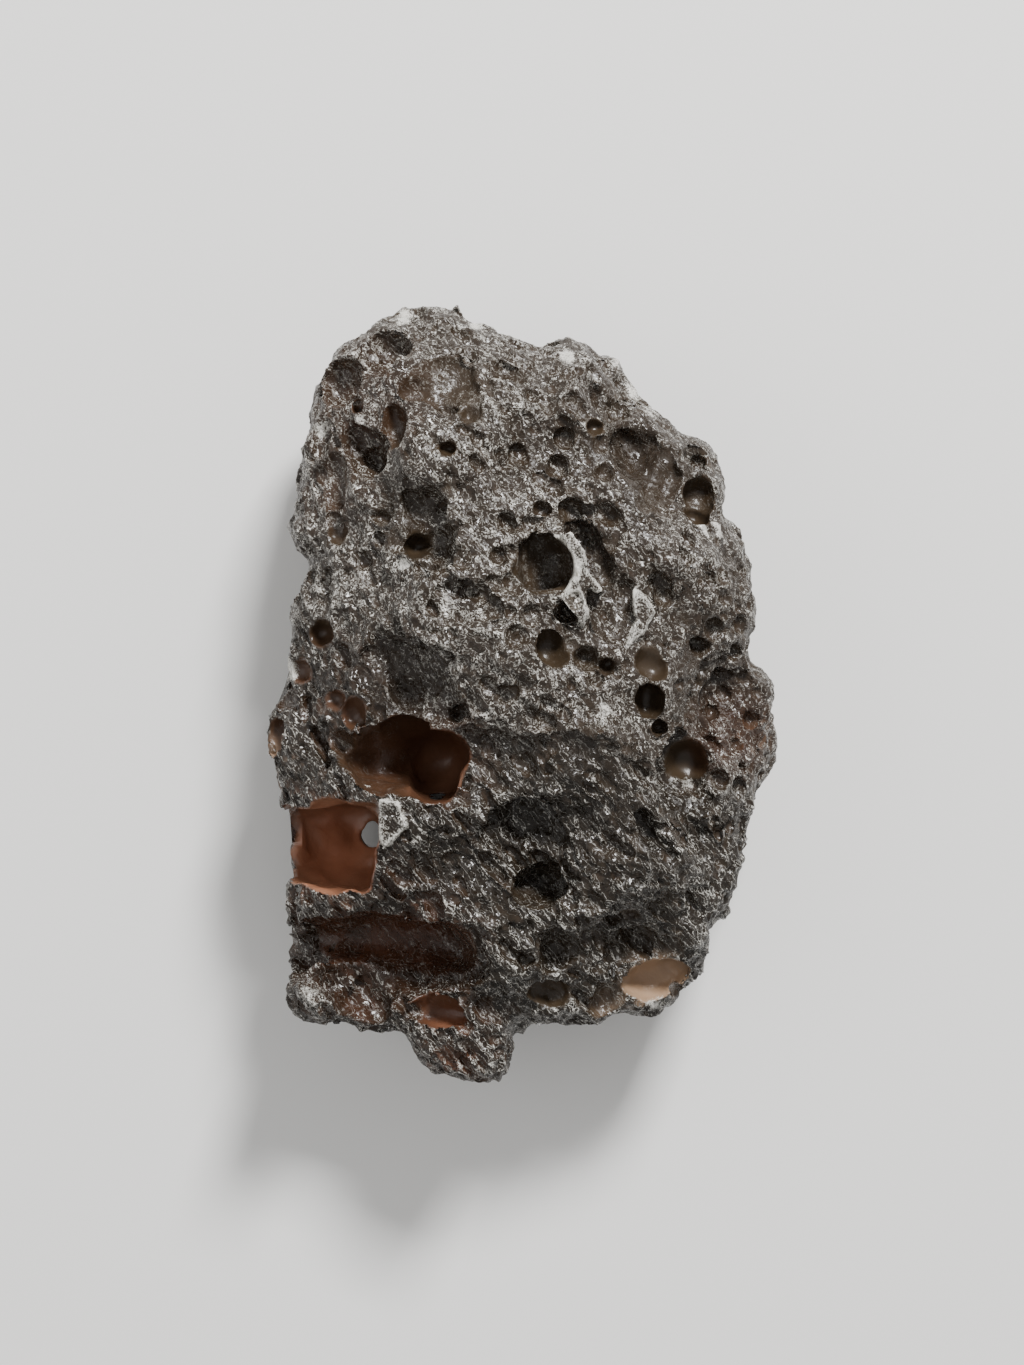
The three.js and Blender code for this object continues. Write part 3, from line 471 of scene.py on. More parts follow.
def carve(field, polish, grid, bubbles, wobble=None):
    # takes each bubble out of the glass, by the greater of the field and the bubble's own turned over, and
    # notes how smooth the glass is just behind its wall; a wobble makes the walls uneven
    sharp, worn = skin["rimSoftness"]
    smooth, crusty = skin["wallLumps"]
    for bubble in bubbles:
        centre, radii, *_, polished = bubble
        window = grid.window(centre, max(radii) * 1.6 + 3 * grid.step)
        if any(part.stop <= part.start for part in window):
            continue
        softness = skin["poreRim"]
        hollow = bubbleField(grid.points(window), bubble)
        if wobble is not None:
            softness = sharp + worn * (1 - polished) ** 2
            hollow = hollow + wobble[window] * (smooth + crusty * (1 - polished)) * min(*radii[:2], 2)
        wall = (np.abs(hollow) < 3 * grid.step) & (-hollow > field[window] - 0.4 * grid.step)
        polish[window] = np.where(wall, polished, polish[window])
        field[window] = softMax(field[window], -hollow, softness)


def addFlakes(field, grid):
    # thin shells that stand on the crust: near the side of a leaning upright tube, between two angles round
    # it and below a height that falls to nothing at both ends; gives back how splintered the glass is
    marked = np.zeros(grid.shape, np.float32)
    for middle, radii, first, last, thickness, height, lean in skin["flakes"]:
        foot = surfaceFrom(np.array([(*middle, waist)]), np.array([[0, 0, 1.0]]))[0]
        window = grid.window(foot, max(radii) + 1)
        x, y, z = np.moveaxis(grid.points(window) - foot, -1, 0)
        size = np.hypot(x / radii[0], y / radii[1]) + 1e-9
        out = (size - 1) * min(radii) - lean * z
        turn = np.degrees(np.arctan2(y, x)) % 360
        half = (last - first) / 2
        along = ((turn - first - half + 180) % 360 - 180) / half
        above = z - height * (1 - along ** 2) + skin["flakeSunk"]
        shell = np.maximum(np.abs(out) - thickness / 2, np.maximum(above, -skin["flakeRoot"] - z))
        shell = np.maximum(shell, (np.abs(along) - 1) * half * math.pi / 180 * min(radii))
        field[window] = np.minimum(field[window], shell)
        near = np.clip(1 - shell / grid.step, 0, 1) * (z > -skin["splinterDepth"])
        marked[window] = np.maximum(marked[window], near)
    return marked


def addShards(field, grid, marked):
    # plates with straight sides: inside the outline from above, below a sloping plane and not far under it
    for corners, height, slope, pale in skin["shards"]:
        middle = np.mean(corners, axis=0)
        foot = surfaceFrom(np.array([(*middle, waist)]), np.array([[0, 0, 1.0]]))[0]
        window = grid.window(foot, np.ptp(corners, axis=0).max() / 2 + 1)
        x, y, z = np.moveaxis(grid.points(window), -1, 0)
        inset = outlineField(x, y, corners)
        above = z - foot[2] - height - slope[0] * (x - middle[0]) - slope[1] * (y - middle[1])
        plate = np.maximum(np.maximum(-inset, above), -above - skin["shardThickness"])
        field[window] = np.minimum(field[window], plate)
        near = np.clip(1 - plate / grid.step, 0, 1) * (above > -skin["splinterDepth"])
        edge = np.exp(-np.maximum(inset, 0) / skin["shardEdge"])
        marked[window] = np.maximum(marked[window], near * (pale + (1 - pale) * edge))


def belowCrest(x, y):
    # how far a place is below the line where the face turns down
    return np.interp(x, *np.array(skin["crestLine"]).T) - y


def flankShare(points):
    # 0 above the crest and 1 well below it, with an even change between
    return np.clip(belowCrest(points[:, 0], points[:, 1]) / skin["crestWidth"], 0, 1)


def crestTrough(x, y):
    # depth of the trough under the crest: a smooth step down that dies away further on
    soon, late = skin["crestReach"]
    below = belowCrest(x, y)
    step = np.clip(below / soon, 0, 1)
    depth = np.interp(x, np.array(skin["crestLine"])[:, 0], skin["crestDrop"])
    return depth * step ** 2 * (3 - 2 * step) * np.exp(-np.maximum(below - soon, 0) / late)


def pores(grid, field, polish, shell, draw):
    # pits strewn over the crust: random places near the surface, each a small egg drawn out along the flow,
    # with a random radius raised to a power so that most are small
    near = np.argwhere(np.abs(field[2:-2, 2:-2, 2:-2]) < 0.6 * grid.step) + 2
    near = near[draw.permutation(len(near))[:skin["pores"] * 2]]  # twice as many, as some are left out
    i, j, k = near.T
    slope = np.stack([field[i + 1, j, k] - field[i - 1, j, k], field[i, j + 1, k] - field[i, j - 1, k],
                      field[i, j, k + 1] - field[i, j, k - 1]], axis=1)
    slope /= np.linalg.norm(slope, axis=1, keepdims=True) + 1e-9
    left, shy = skin["poreKeep"]
    keep = draw.random(len(near)) > left + shy * np.maximum(polish, 1.2 * shell)[i, j, k]
    near, slope = near[keep][:skin["pores"]], slope[keep][:skin["pores"]]
    small, large = skin["poreRadii"]
    places = grid.low + near * grid.step
    froth = sum(np.exp(-((places[:, :2] - middle) ** 2).sum(axis=1) / reach ** 2)
                for middle, reach in skin["froth"])
    power, less = skin["porePower"]
    radius = small + (large - small) * draw.random(len(near)) ** (power - less * np.minimum(froth, 1))
    sunk = radius * skin["poreSunk"] * draw.random(len(near))
    centres = places - slope * sunk[:, None]
    above, below = skin["poreStretch"]
    stretch = 1 + (above - 1 + (below - above) * flankShare(centres)) * draw.random(len(near))
    return [(centre, (r / math.sqrt(s), r * s, r), axes, 2, n, 0.5)
            for n, (centre, r, s, axes) in enumerate(zip(centres, radius, stretch, facing(slope)))]


def stoneField(grid):
    # the whole stone: the lump and its unevenness, lowered under the crest, joined with the knobs, cut level
    # where it rests, less the bubbles, with flakes and plates added, and less the pores
    draw = np.random.default_rng(skin["seed"])
    x, y, z = (axis.reshape([-1 if a == n else 1 for a in range(3)]) for n, axis in enumerate(grid.axes))
    x, y = np.broadcast_arrays(x, y)
    field = lumpField(x[..., :1], y[..., :1], z).astype(np.float32)
    lumps = [latticeNoise(grid, size, draw) for size, _ in skin["lumps"]]
    for lumpNoise, (_, height) in zip(lumps, skin["lumps"]):
        field += height * lumpNoise
    field += crestTrough(x, y) * np.clip((z - waist) / skin["crestFade"], 0, 1)
    for knob in placed(stone["knobs"]):
        window = grid.window(knob[0], max(knob[1]) * 1.6)
        bump = bubbleField(grid.points(window), knob) + skin["knobLumps"] * lumps[1][window]
        field[window] = -softMax(-field[window], -bump, skin["knobBlend"])
    field = np.maximum(field, -z)  # worn flat where it rests
    lump = field.copy()
    print("lump", grid.shape)
    bubbles = faceBubbles(stone["bubbles"]) + placed(stone["deepHollows"]) + spiralBubbles()
    bubbles += faceBubbles(skin["smallBubbles"])
    polish = np.zeros(grid.shape, np.float32)
    large, small = skin["wallMix"]
    carve(field, polish, grid, bubbles, large * lumps[1] + small * lumps[2])
    shell = addFlakes(field, grid)
    addShards(field, grid, shell)
    print("bubbles", len(bubbles))
    pits = pores(grid, field, polish, shell, draw)
    carve(field, polish, grid, pits)
    print("pores", len(pits))
    warp = [skin["crumbWarp"] * latticeNoise(grid, skin["warpSize"], draw) for _ in range(3)]
    return field, lump, polish, shell, warp


def mendCorners(inside):
    # fills the cells where the glass would meet itself only at an edge or a corner
    while True:
        count = inside.sum()
        for a, b in ((0, 1), (0, 2), (1, 2)):
            view = np.moveaxis(inside, (a, b), (0, 1))
            p, q, r, s = view[:-1, :-1], view[1:, :-1], view[:-1, 1:], view[1:, 1:]
            crossed = (p & s & ~q & ~r) | (q & r & ~p & ~s)
            for part in (p, q, r, s):
                part |= crossed
        a, b, c = np.subtract(inside.shape, 1)
        corners = [inside[i:a + i, j:b + j, k:c + k] for i, j, k in np.ndindex(2, 2, 2)]
        total = sum(corner.astype(np.int8) for corner in corners)
        for n in range(4):
            one, other = corners[n], corners[7 - n]
            crossed = ((total == 2) & one & other) | ((total == 6) & ~one & ~other)
            for corner in corners:
                corner |= crossed
        if inside.sum() == count:
            return inside


def surfaceNet(field, grid):
    # one vertex in each cell that the surface crosses, at the mean of its crossings of the cell's edges, and
    # one quad across each grid edge that the surface crosses
    inside = mendCorners(field < 0)
    field = np.where(inside, np.minimum(field, -1e-4), np.maximum(field, 1e-4))
    shape = np.array(field.shape) - 1
    corners = list(np.ndindex(2, 2, 2))
    parts = [field[i:shape[0] + i, j:shape[1] + j, k:shape[2] + k] for i, j, k in corners]
    count = sum((part < 0).astype(np.int8) for part in parts)
    cells = np.argwhere((count > 0) & (count < 8))
    number = np.full(shape, -1, np.int32)
    number[tuple(cells.T)] = np.arange(len(cells))
    values = np.stack([part[tuple(cells.T)] for part in parts], axis=1)
    total, crossings = np.zeros((len(cells), 3)), np.zeros(len(cells))
    for a, b in ((a, b) for a in range(8) for b in range(a + 1, 8)):
        step = np.subtract(corners[b], corners[a])
        if np.abs(step).sum() != 1:
            continue
        va, vb = values[:, a], values[:, b]
        crosses = (va < 0) != (vb < 0)
        t = np.where(crosses, va / np.where(crosses, va - vb, 1), 0)
        total += np.where(crosses[:, None], corners[a] + t[:, None] * step, 0)
        crossings += crosses
    vertices = grid.low + (cells + total / crossings[:, None]) * grid.step
    quads = []
    for axis in range(3):
        one, two = (axis + 1) % 3, (axis + 2) % 3
        near = np.moveaxis(inside, (axis, one, two), (0, 1, 2))[:, 1:-1, 1:-1]
        ids = np.moveaxis(number, (axis, one, two), (0, 1, 2))
        for leaves in (True, False):
            start, end = near[:-1], near[1:]
            i, j, k = np.nonzero(start & ~end if leaves else ~start & end)
            ring = [ids[i, j, k], ids[i, j + 1, k], ids[i, j + 1, k + 1], ids[i, j, k + 1]]
            quads.append(np.stack(ring if leaves else ring[::-1], axis=1))
    return vertices, np.concatenate(quads)


def largestPiece(vertices, faces):
    # numbers that spread from corner to corner until each piece has one, and the piece with the most corners
    label = np.arange(len(vertices))
    while True:
        least = label[faces].min(axis=1)
        spread = label.copy()
        np.minimum.at(spread, faces.ravel(), np.repeat(least, faces.shape[1]))
        spread = spread[spread]
        if np.array_equal(spread, label):
            break
        label = spread
    kept = label == np.bincount(label).argmax()
    renumber = np.cumsum(kept) - 1
    return vertices[kept], renumber[faces[kept[faces[:, 0]]]]


def scramble(cells, salt):
    # three chance numbers from 0 to 1 for each whole-number cell
    mixed = cells.astype(np.uint32) @ np.array([73856093, 19349663, 83492791], np.uint32) + np.uint32(salt)
    numbers = []
    for factor in (2654435761, 2246822519, 3266489917):
        mixed = (mixed ^ (mixed >> np.uint32(15))) * np.uint32(factor)
        numbers.append((mixed >> np.uint32(8)) / 2 ** 24)
    return np.stack(numbers, axis=-1)


def bowls(points, size, salt):
    # distances to the nearest two of some strewn points, as shares of the spacing: the first is low in a bowl
    # and the two are alike along its rim
    place = points / size
    cell = np.floor(place).astype(int)
    nearest, second = np.full(len(points), np.inf), np.full(len(points), np.inf)
    for step in np.ndindex(3, 3, 3):
        other = cell + step - 1
        away = ((other + scramble(other, salt) - place) ** 2).sum(axis=1)
        second = np.minimum(second, np.maximum(nearest, away))
        nearest = np.minimum(nearest, away)
    return np.sqrt(nearest), np.sqrt(second)


def alongFlow(points, stretch):
    # squeezes the points along the flow, so that what is round in the result is drawn out in the stone
    along = points @ flow
    return points - np.outer(along * (1 - 1 / stretch), flow)


def normalsOf(vertices, faces):
    # the way each corner looks: the sum of the cross products of its faces' diagonals, made 1 long
    a, b, c, d = (vertices[faces[:, n]] for n in range(4))
    across = np.cross(c - a, d - b)
    normals = np.zeros_like(vertices)
    for n in range(4):
        for axis in range(3):
            normals[:, axis] += np.bincount(faces[:, n], across[:, axis], len(vertices))
    return normals / (np.linalg.norm(normals, axis=1, keepdims=True) + 1e-12)


def newMesh(name, vertices, faces):
    # a mesh of faces that all have the same number of corners
    mesh = bpy.data.meshes.new(name)
    mesh.vertices.add(len(vertices))
    mesh.vertices.foreach_set("co", np.asarray(vertices, np.float32).ravel())
    size = faces.shape[1]
    mesh.loops.add(faces.size)
    mesh.loops.foreach_set("vertex_index", faces.ravel().astype(np.int32))
    mesh.polygons.add(len(faces))
    mesh.polygons.foreach_set("loop_start", np.arange(0, faces.size, size, dtype=np.int32))
    mesh.update(calc_edges=True)
    mesh.validate()
    return mesh


def boxMean(values, reach):
    # mean over a cube of cells round each cell, one axis at a time
    for axis in range(3):
        width = [(reach + 1, reach) if a == axis else (0, 0) for a in range(3)]
        total = np.cumsum(np.pad(values, width, mode="edge"), axis=axis, dtype=np.float64)
        size = values.shape[axis]
        upper = np.take(total, np.arange(2 * reach + 1, 2 * reach + 1 + size), axis)
        values = ((upper - np.take(total, np.arange(size), axis)) / (2 * reach + 1)).astype(np.float32)
    return values


def setAttribute(mesh, name, values):
    # one number for each corner, which the material reads by name
    mesh.attributes.new(name, "FLOAT", "POINT").data.foreach_set("value", np.asarray(values, np.float32))


def crumbled(places, push, crust, flat, flank):
    # how far the crust stands out at each corner, and how near the corner is to a sharp edge: bowls of some
    # sizes, each low in its middle and high along its rim, and furrows that are weaker above the crest
    rise, edge = np.zeros(len(places)), np.zeros(len(places))
    some = skin["grooveShare"]
    for number, (size, height, stretch) in enumerate([*skin["crumb"], skin["grooves"]]):
        near, second = bowls(alongFlow(places, stretch) + push, size, number)
        amount = height * 2 * (some + (1 - some) * flank if number == len(skin["crumb"]) else 1)
        rise += (near ** skin["crumbPower"] - 0.5) * amount * crust * flat
        edge = np.maximum(edge, min(size, 1) * np.exp(-(second - near) * size / skin["edgeWidth"]))
    return rise, edge


def frostLightAndShade(places, flank, rise):
    # how much more or less frosted the crust is, with painted light and shade added: bell curves across the
    # crest, a painted highlight, and the trough, a painted shadow, and round each spot, with painted shade and
    # cleaner glass on the flank and more on what stands out
    below = belowCrest(places[:, 0], places[:, 1])
    shade = np.interp(places[:, 0], *skin["crestShade"])
    change = skin["flankFrostAndShade"] * flank + skin["bowlFrost"] * rise
    for amount, middle, width in skin["crestLightAndShadow"]:
        change += amount * shade * np.exp(-((below - middle) / width) ** 2)
    for middle, radius, amount in skin["frostSpots"]:
        share = np.hypot(*(places[:, :2] - middle).T) / radius
        change += amount * np.exp(-share ** 2)
    return change


def spotted(places, spots):
    # strength of the strongest spot at each corner: whole out to half its radius, nothing from one and a half
    # on, with an even fall between, and none low down on the sides
    values = np.zeros(len(places))
    for middle, radius, strength in spots:
        share = np.hypot(*(places[:, :2] - middle).T) / radius
        values = np.maximum(values, strength * np.clip(1.5 - share, 0, 1))
    lowest, rise = skin["spotFade"]
    return values * np.clip((places[:, 2] - lowest * waist) / rise, 0, 1)


def fewerFaces(piece, places, deep):
    # thins the mesh out, soonest where it is hidden: below the waist, and more than a little way into the
    # stone
    hidden = np.clip(np.maximum((waist + 1 - places[:, 2]) / 3, (deep - 1) / 2), 0, 1)
    for middle in skin["seenThrough"]:
        hidden *= np.clip(np.hypot(*(places[:, :2] - middle).T) / 2 - 0.5, 0, 1)
    group = piece.vertex_groups.new(name="hidden")
    for level in range(5):
        members = np.flatnonzero(np.round(hidden * 4) == level)
        group.add(members.tolist(), 1 - skin["hiddenShare"] * (1 - level / 4), "REPLACE")
    full = piece.data
    fewer = piece.modifiers.new("fewer", "DECIMATE")
    fewer.vertex_group = "hidden"
    fewer.ratio = min(skin["triangles"] / (2 * len(full.polygons)), 1)
    fine = bpy.data.meshes.new_from_object(piece.evaluated_get(bpy.context.evaluated_depsgraph_get()))
    piece.modifiers.clear()
    piece.vertex_groups.clear()
    piece.data = fine
    bpy.data.meshes.remove(full)
    fine.name = "tektiteStone"
    fine.polygons.foreach_set("use_smooth", np.ones(len(fine.polygons), bool))


def buildStone():
    # the surface of the field, each corner moved along its normal by the crumb, with what the material reads
    low, high = np.array(cadBox) / mm
    grid = Grid(low - 3 * skin["step"], high + 3 * skin["step"], skin["step"])
    field, lump, polish, shell, warp = stoneField(grid)
    places, faces = largestPiece(*surfaceNet(field, grid))
    print("surface", len(places), "corners")
    crust = 1 - skin["polishedCrumb"] * grid.sample(np.maximum(polish, shell), places)
    flat = np.clip(places[:, 2] / skin["restFade"], 0, 1)
    push = np.stack([grid.sample(part, places) for part in warp], axis=1)
    flank = flankShare(places)
    rise, edge = crumbled(places, push, crust, flat, flank)
    mesh = newMesh("tektiteStone", (places + normalsOf(places, faces) * rise[:, None]) * mm, faces)
    glass = np.clip(0.5 - field / grid.step, 0, 1).astype(np.float32)
    # frost of the crust, with the painted light and shade of the crest and the flank
    setAttribute(mesh, "frostedAndShaded", frostLightAndShade(places, flank, rise))
    setAttribute(mesh, "edge", edge)
    setAttribute(mesh, "flank", flank)
    setAttribute(mesh, "polish", grid.sample(polish, places))
    setAttribute(mesh, "ridge", 1 - 2 * grid.sample(boxMean(glass, skin["ridgeReach"]), places))
    setAttribute(mesh, "body", grid.sample(boxMean(glass, skin["bodyReach"]), places))
    # pale: white splinters, flakes and plates, and painted highlights where glassy folds and edges glint
    setAttribute(mesh, "pale", np.maximum(spotted(places, skin["paleAndGlintSpots"]), grid.sample(shell, places)))
    setAttribute(mesh, "thin", spotted(places, skin["thinSpots"]))
    setAttribute(mesh, "warm", spotted(places, skin["warmTintAndLightSpots"]))
    piece = bpy.data.objects.new("tektiteStone", mesh)
    scene.collection.objects.link(piece)
    fewerFaces(piece, places, np.maximum(-grid.sample(lump, places), 0))
    print("stone", len(piece.data.polygons), "faces")
    return piece


class Value:
    # a socket that can be reckoned with: each operator adds the Math node that it stands for
    def __init__(self, nodes, socket):
        self.nodes = nodes
        self.socket = socket

    def reckon(self, operation, *others, clamp=False):
        # a Math node on this value and others
        return self.nodes.add("ShaderNodeMath", {"operation": operation, "use_clamp": clamp},
                              dict(enumerate((self, *others))))

    def __add__(self, other):
        return self.reckon("ADD", other)

    def __radd__(self, other):
        return self.reckon("ADD", other)

    def __sub__(self, other):
        return self.reckon("SUBTRACT", other)

    def __rsub__(self, other):
        return self.nodes.add("ShaderNodeMath", {"operation": "SUBTRACT"}, {0: other, 1: self})

    def __mul__(self, other):
        return self.reckon("MULTIPLY", other)

    def __rmul__(self, other):
        return self.reckon("MULTIPLY", other)

    def size(self):
        # the value without its sign
        return self.reckon("ABSOLUTE")

    def beside(self, output):
        # another output of the node that this value comes from
        return Value(self.nodes, self.socket.node.outputs[output])


class Nodes:
    # a material's nodes
    def __init__(self, material):
        self.tree = material.node_tree
        self.tree.nodes.clear()

    def add(self, kind, settings=None, inputs=None, output=0):
        # one node: its settings first, then the values or links of its sockets
        node = self.tree.nodes.new(kind)
        for name, value in (settings or {}).items():
            setattr(node, name, value)
        for name, value in (inputs or {}).items():
            socket = node.inputs[name]
            if isinstance(value, Value):
                self.tree.links.new(value.socket, socket)
            elif socket.type == "RGBA" and len(value) == 3:
                socket.default_value = (*value, 1)
            else:
                socket.default_value = value
        return Value(self, node.outputs[output]) if node.outputs else node

    def smooth(self, value, low, high):
        # 0 up to low, 1 from high on and a smooth rise between
        return self.add("ShaderNodeMapRange", {"interpolation_type": "SMOOTHSTEP"},
                        {"Value": value, "From Min": low, "From Max": high})

    def blend(self, share, one, two):
        # the first colour where the share is 0, and the second where it is 1
        return self.add("ShaderNodeMix", {"data_type": "RGBA"}, {0: share, 6: one, 7: two}, 2)

    def attribute(self, name):
        # a number that the mesh holds for each corner
        return self.add("ShaderNodeAttribute", {"attribute_name": name}, output=2)

    def noise(self, place, scale, detail, roughness=0.5):
        # soft chance values from 0 to 1, so many to the mm
        return self.add("ShaderNodeTexNoise", {}, {
            "Vector": place, "Scale": scale, "Detail": detail, "Roughness": roughness})

    def drawnOut(self, place, stretch):
        # Object coordinates in mm, turned to the flow and squeezed along it
        return self.add("ShaderNodeMapping", {"vector_type": "TEXTURE"}, {
            "Vector": place, "Rotation": (0, 0, flowAngle), "Scale": (stretch * mm, mm, mm)})

    def foam(self, place, scale):
        # round pits of many sizes: how far a place is inside one, and how near its rim
        cell = self.add("ShaderNodeTexVoronoi", {}, {"Vector": place, "Scale": scale})
        share = self.add("ShaderNodeSeparateColor", {}, {"Color": cell.beside("Color")})
        there = self.smooth(share.beside("Green"), 0, 0.2)
        beyond = cell - 0.42 * share - 0.21
        rim = self.smooth(14 * (beyond - 0.03).size(), 1, 0)
        return there * self.smooth(beyond, 0.04, -0.16), there * rim

    def vector(self, operation, *sockets):
        # a Vector Math node
        return self.add("ShaderNodeVectorMath", {"operation": operation}, dict(enumerate(sockets)))

    def scaled(self, vector, factor):
        return self.add("ShaderNodeVectorMath", {"operation": "SCALE"}, {0: vector, "Scale": factor})


tektiteGlass = {
    "transmission": 0.4,
    "ior": 1.5,
    "specular": 0.21,
    "absorptionColour": (0.62, 0.45, 0.32),
    "absorptionDensity": 800,  # per metre
    "deepColour": (0.064, 0.043, 0.025),  # clean brown glass
    "warmTintAndLightColour": (0.18, 0.055, 0.024),  # the same, where it is reddest: partly the glass's own red tint, partly painted warm light coming through
    "thinLitColour": (0.5, 0.33, 0.21),  # clean glass where it is thin, lightened with painted light coming through it
    # the same where it is reddest, lit with painted warm light coming through
    "warmThinLitColour": (0.5, 0.2, 0.11),
    # painted light and shade in hollows: concave places are pulled towards this colour, which lifts the shadow
    # on the dark crust and darkens thin glass
    "hollowLightAndShadeColour": (0.062, 0.041, 0.027),
    "crustColour": (0.042, 0.03, 0.021),
    # crust where it is reddest, partly painted warm light
    "warmCrustTintAndLightColour": (0.06, 0.023, 0.011),
    "flankCleanAndShadeColour": (0.021, 0.015, 0.0095),  # crust below the crest: cleaner glass, with painted shade where the flank turns away from the light
    "frostColour": (0.46, 0.43, 0.385),
    # white of the splinters and of the painted glints
    "splinterAndGlintColour": (0.93, 0.9, 0.82),
    "flakeColour": (0.38, 0.35, 0.27),
    "frost": 0.0019,  # share of the crust that is frosted white in an ordinary place
    "wallRoughness": 0.3,
    "crustRoughness": 0.4,
    "chipPolish": 0.17,  # how much less rough the smooth chips of the crust are
    "pits": [  # how many to the mm, how much painted shade darkens them by taking frost away, and how much painted highlight whitens their rims
        (0.8, 1.3, 1.9), (1.9, 1.6, 2.6), (4.2, 1.6, 2.6),
    ],
    "flankPits": 0.75,  # share of the pits' effect that is lost below the crest
    "perMm": {  # how fine each pattern is
        "warp": 1.7, "patches": 0.45, "streaks": 1.6, "fine": 11, "hairs": 8, "needles": 3.4, "glintThreads": 2.8,
        "chips": 6.5,
    },
    "stretch": (1.8, 3.2, 7.5),  # along the flow, of the pits and chips, the streaks and the needles
    "needleWarp": 0.4,  # how much less than the others the needles are bent
    "whitening": {  # how much each pattern adds to the frost, and a few add more or less on the flank; ridge and edge add painted highlights together with worn frost, and body takes frost away as painted shade where much glass surrounds a place
        "patches": 2.2, "streaks": 4.5, "flankStreaks": 2, "ridge": 3, "edge": 2.8, "frostedAndShaded": 1.4,
        "fine": 10, "flankFine": -5, "hairs": 9, "body": -1.2,
    },
    "sharpness": (26, 24),  # of the painted glint threads and of the painted glint filaments on the flank
    "relief": 0.14,  # mm
    "reliefParts": (0.7, 0.3, 0.5),  # streaks, hairs, and needles on the flank
    "chipTilt": (0.3, 0.6),  # how far chips lean in the crust, and how much further the smooth ones do
}


def glassMaterial():
    # brown glass, with painted light coming through where it is thin, under a crust that is frosted white by the
    # power of a sum of patterns that holds painted shade in pits, deep places and on the flank and painted
    # highlights on rims, edges and the crest, crossed by threads and filaments of painted glints, with sparkling
    # chips of which a few are painted white as glints, and white in a few places with splinters and painted
    # highlights
    look = tektiteGlass
    perMm, add = look["perMm"], look["whitening"]
    material = bpy.data.materials.new("tektiteGlass")
    material.use_nodes = True
    nodes = Nodes(material)
    place = nodes.add("ShaderNodeTexCoord", output="Object")
    inMm = nodes.drawnOut(place, 1)
    ridge, body, polish, frostedAndShaded, edge = [
        nodes.attribute(name) for name in ("ridge", "body", "polish", "frostedAndShaded", "edge")]
    flank, pale, thinness, warm = [nodes.attribute(name) for name in ("flank", "pale", "thin", "warm")]

    # patterns, in coordinates that are bent a little and drawn out along the flow
    warp = nodes.add("ShaderNodeTexNoise", {}, {"Vector": inMm, "Scale": perMm["warp"], "Detail": 2}, "Color")
    push = nodes.vector("SUBTRACT", warp, (0.5, 0.5, 0.5))
    short, middling, long = [nodes.drawnOut(place, stretch) for stretch in look["stretch"]]
    short = nodes.vector("ADD", short, push)
    middling = nodes.vector("ADD", middling, push)
    long = nodes.vector("ADD", long, nodes.scaled(push, look["needleWarp"]))
    patches = nodes.noise(inMm, perMm["patches"], 2)
    streaks = nodes.noise(middling, perMm["streaks"], 4, 0.6)
    fine = nodes.noise(inMm, perMm["fine"], 1, 0.7)
    hairs = nodes.noise(middling, perMm["hairs"], 1, 0.6)
    needles = nodes.noise(long, perMm["needles"], 1, 0.5)
    glintThreads = nodes.noise(middling, perMm["glintThreads"], 2)
    chips = nodes.add("ShaderNodeTexVoronoi", {}, {"Vector": short, "Scale": perMm["chips"]}, "Color")
    chip = nodes.add("ShaderNodeSeparateColor", {}, {"Color": chips})
    # painted pits in the texture: painted shade inside each, painted highlights on their rims
    pitShadeAndRimLight = 0
    for scale, pitShade, rimLight in look["pits"]:
        pit, rim = nodes.foam(short, scale)
        pitShadeAndRimLight = pitShadeAndRimLight + rimLight * rim - pitShade * pit
    pitShadeAndRimLight = pitShadeAndRimLight * (1 - look["flankPits"] * flank)

    # how much of the glass is crust, and how much is thin and lit with painted light coming through
    crust = nodes.smooth(1 - polish + 0.4 * (streaks - 0.5), 0.15, 0.7)
    clean = 0.3 + 0.7 * polish
    thin = nodes.smooth(thinness * clean + 0.3 * (patches - 0.5) + 0.05 - 0.2 * body, 0.1, 0.8)

    # frost: a power of the sum of the patterns, so that it is sparse and its spots are bright; the sum also
    # holds painted highlights on ridges, edges and pit rims, and painted shade in pits, deep places, the trough
    # and the flank
    streaked = (add["streaks"] + add["flankStreaks"] * flank) * (streaks - 0.5)
    density = add["patches"] * (patches - 0.5) + streaked
    density = density + add["ridge"] * ridge + add["edge"] * edge + add["frostedAndShaded"] * frostedAndShaded
    specks = (add["fine"] + add["flankFine"] * flank) * (fine - 0.5) + add["hairs"] * (hairs - 0.5)
    level = density + pitShadeAndRimLight + specks + add["body"] * (body - 0.5) + math.log(look["frost"])
    frost = level.reckon("EXPONENT", clamp=True)

    # painted glints: white threads run where a noise crosses its middle value, white filaments on the flank, and
    # a few chips are painted white here and there
    glintThreadSharp, glintFilamentSharp = look["sharpness"]
    glintThread = nodes.smooth(1 - glintThreadSharp * (glintThreads - 0.5).size() + 0.15 * density, 0.2, 0.9)
    glintFilament = nodes.smooth(1 - glintFilamentSharp * (needles - 0.5).size() + 0.1 * density, 0.1, 0.9)
    glintThread = (0.6 * glintThread + flank * (0.85 * glintFilament - 0.4 * glintThread)) * nodes.smooth(fine, 0.38, 0.52)
    paintedGlint = nodes.smooth(chip + 0.015 * density, 0.95, 0.98) * nodes.smooth(fine, 0.45, 0.55)
    # white splinters, with painted highlights where the glassy folds and edges glint
    splinterAndGlint = nodes.smooth(pale + 3.2 * pale * (1.2 - pale) * (streaks + fine - 1), 0.35, 0.8)

    # colours, from the clean glass outwards
    # reddest glass, partly its own tint and partly painted warm light coming through
    colour = nodes.blend(warm * clean, look["deepColour"], look["warmTintAndLightColour"])
    # painted light coming through thin glass
    colour = nodes.blend(thin, colour, nodes.blend(warm, look["thinLitColour"], look["warmThinLitColour"]))
    shell = nodes.blend(warm, look["crustColour"], look["warmCrustTintAndLightColour"])
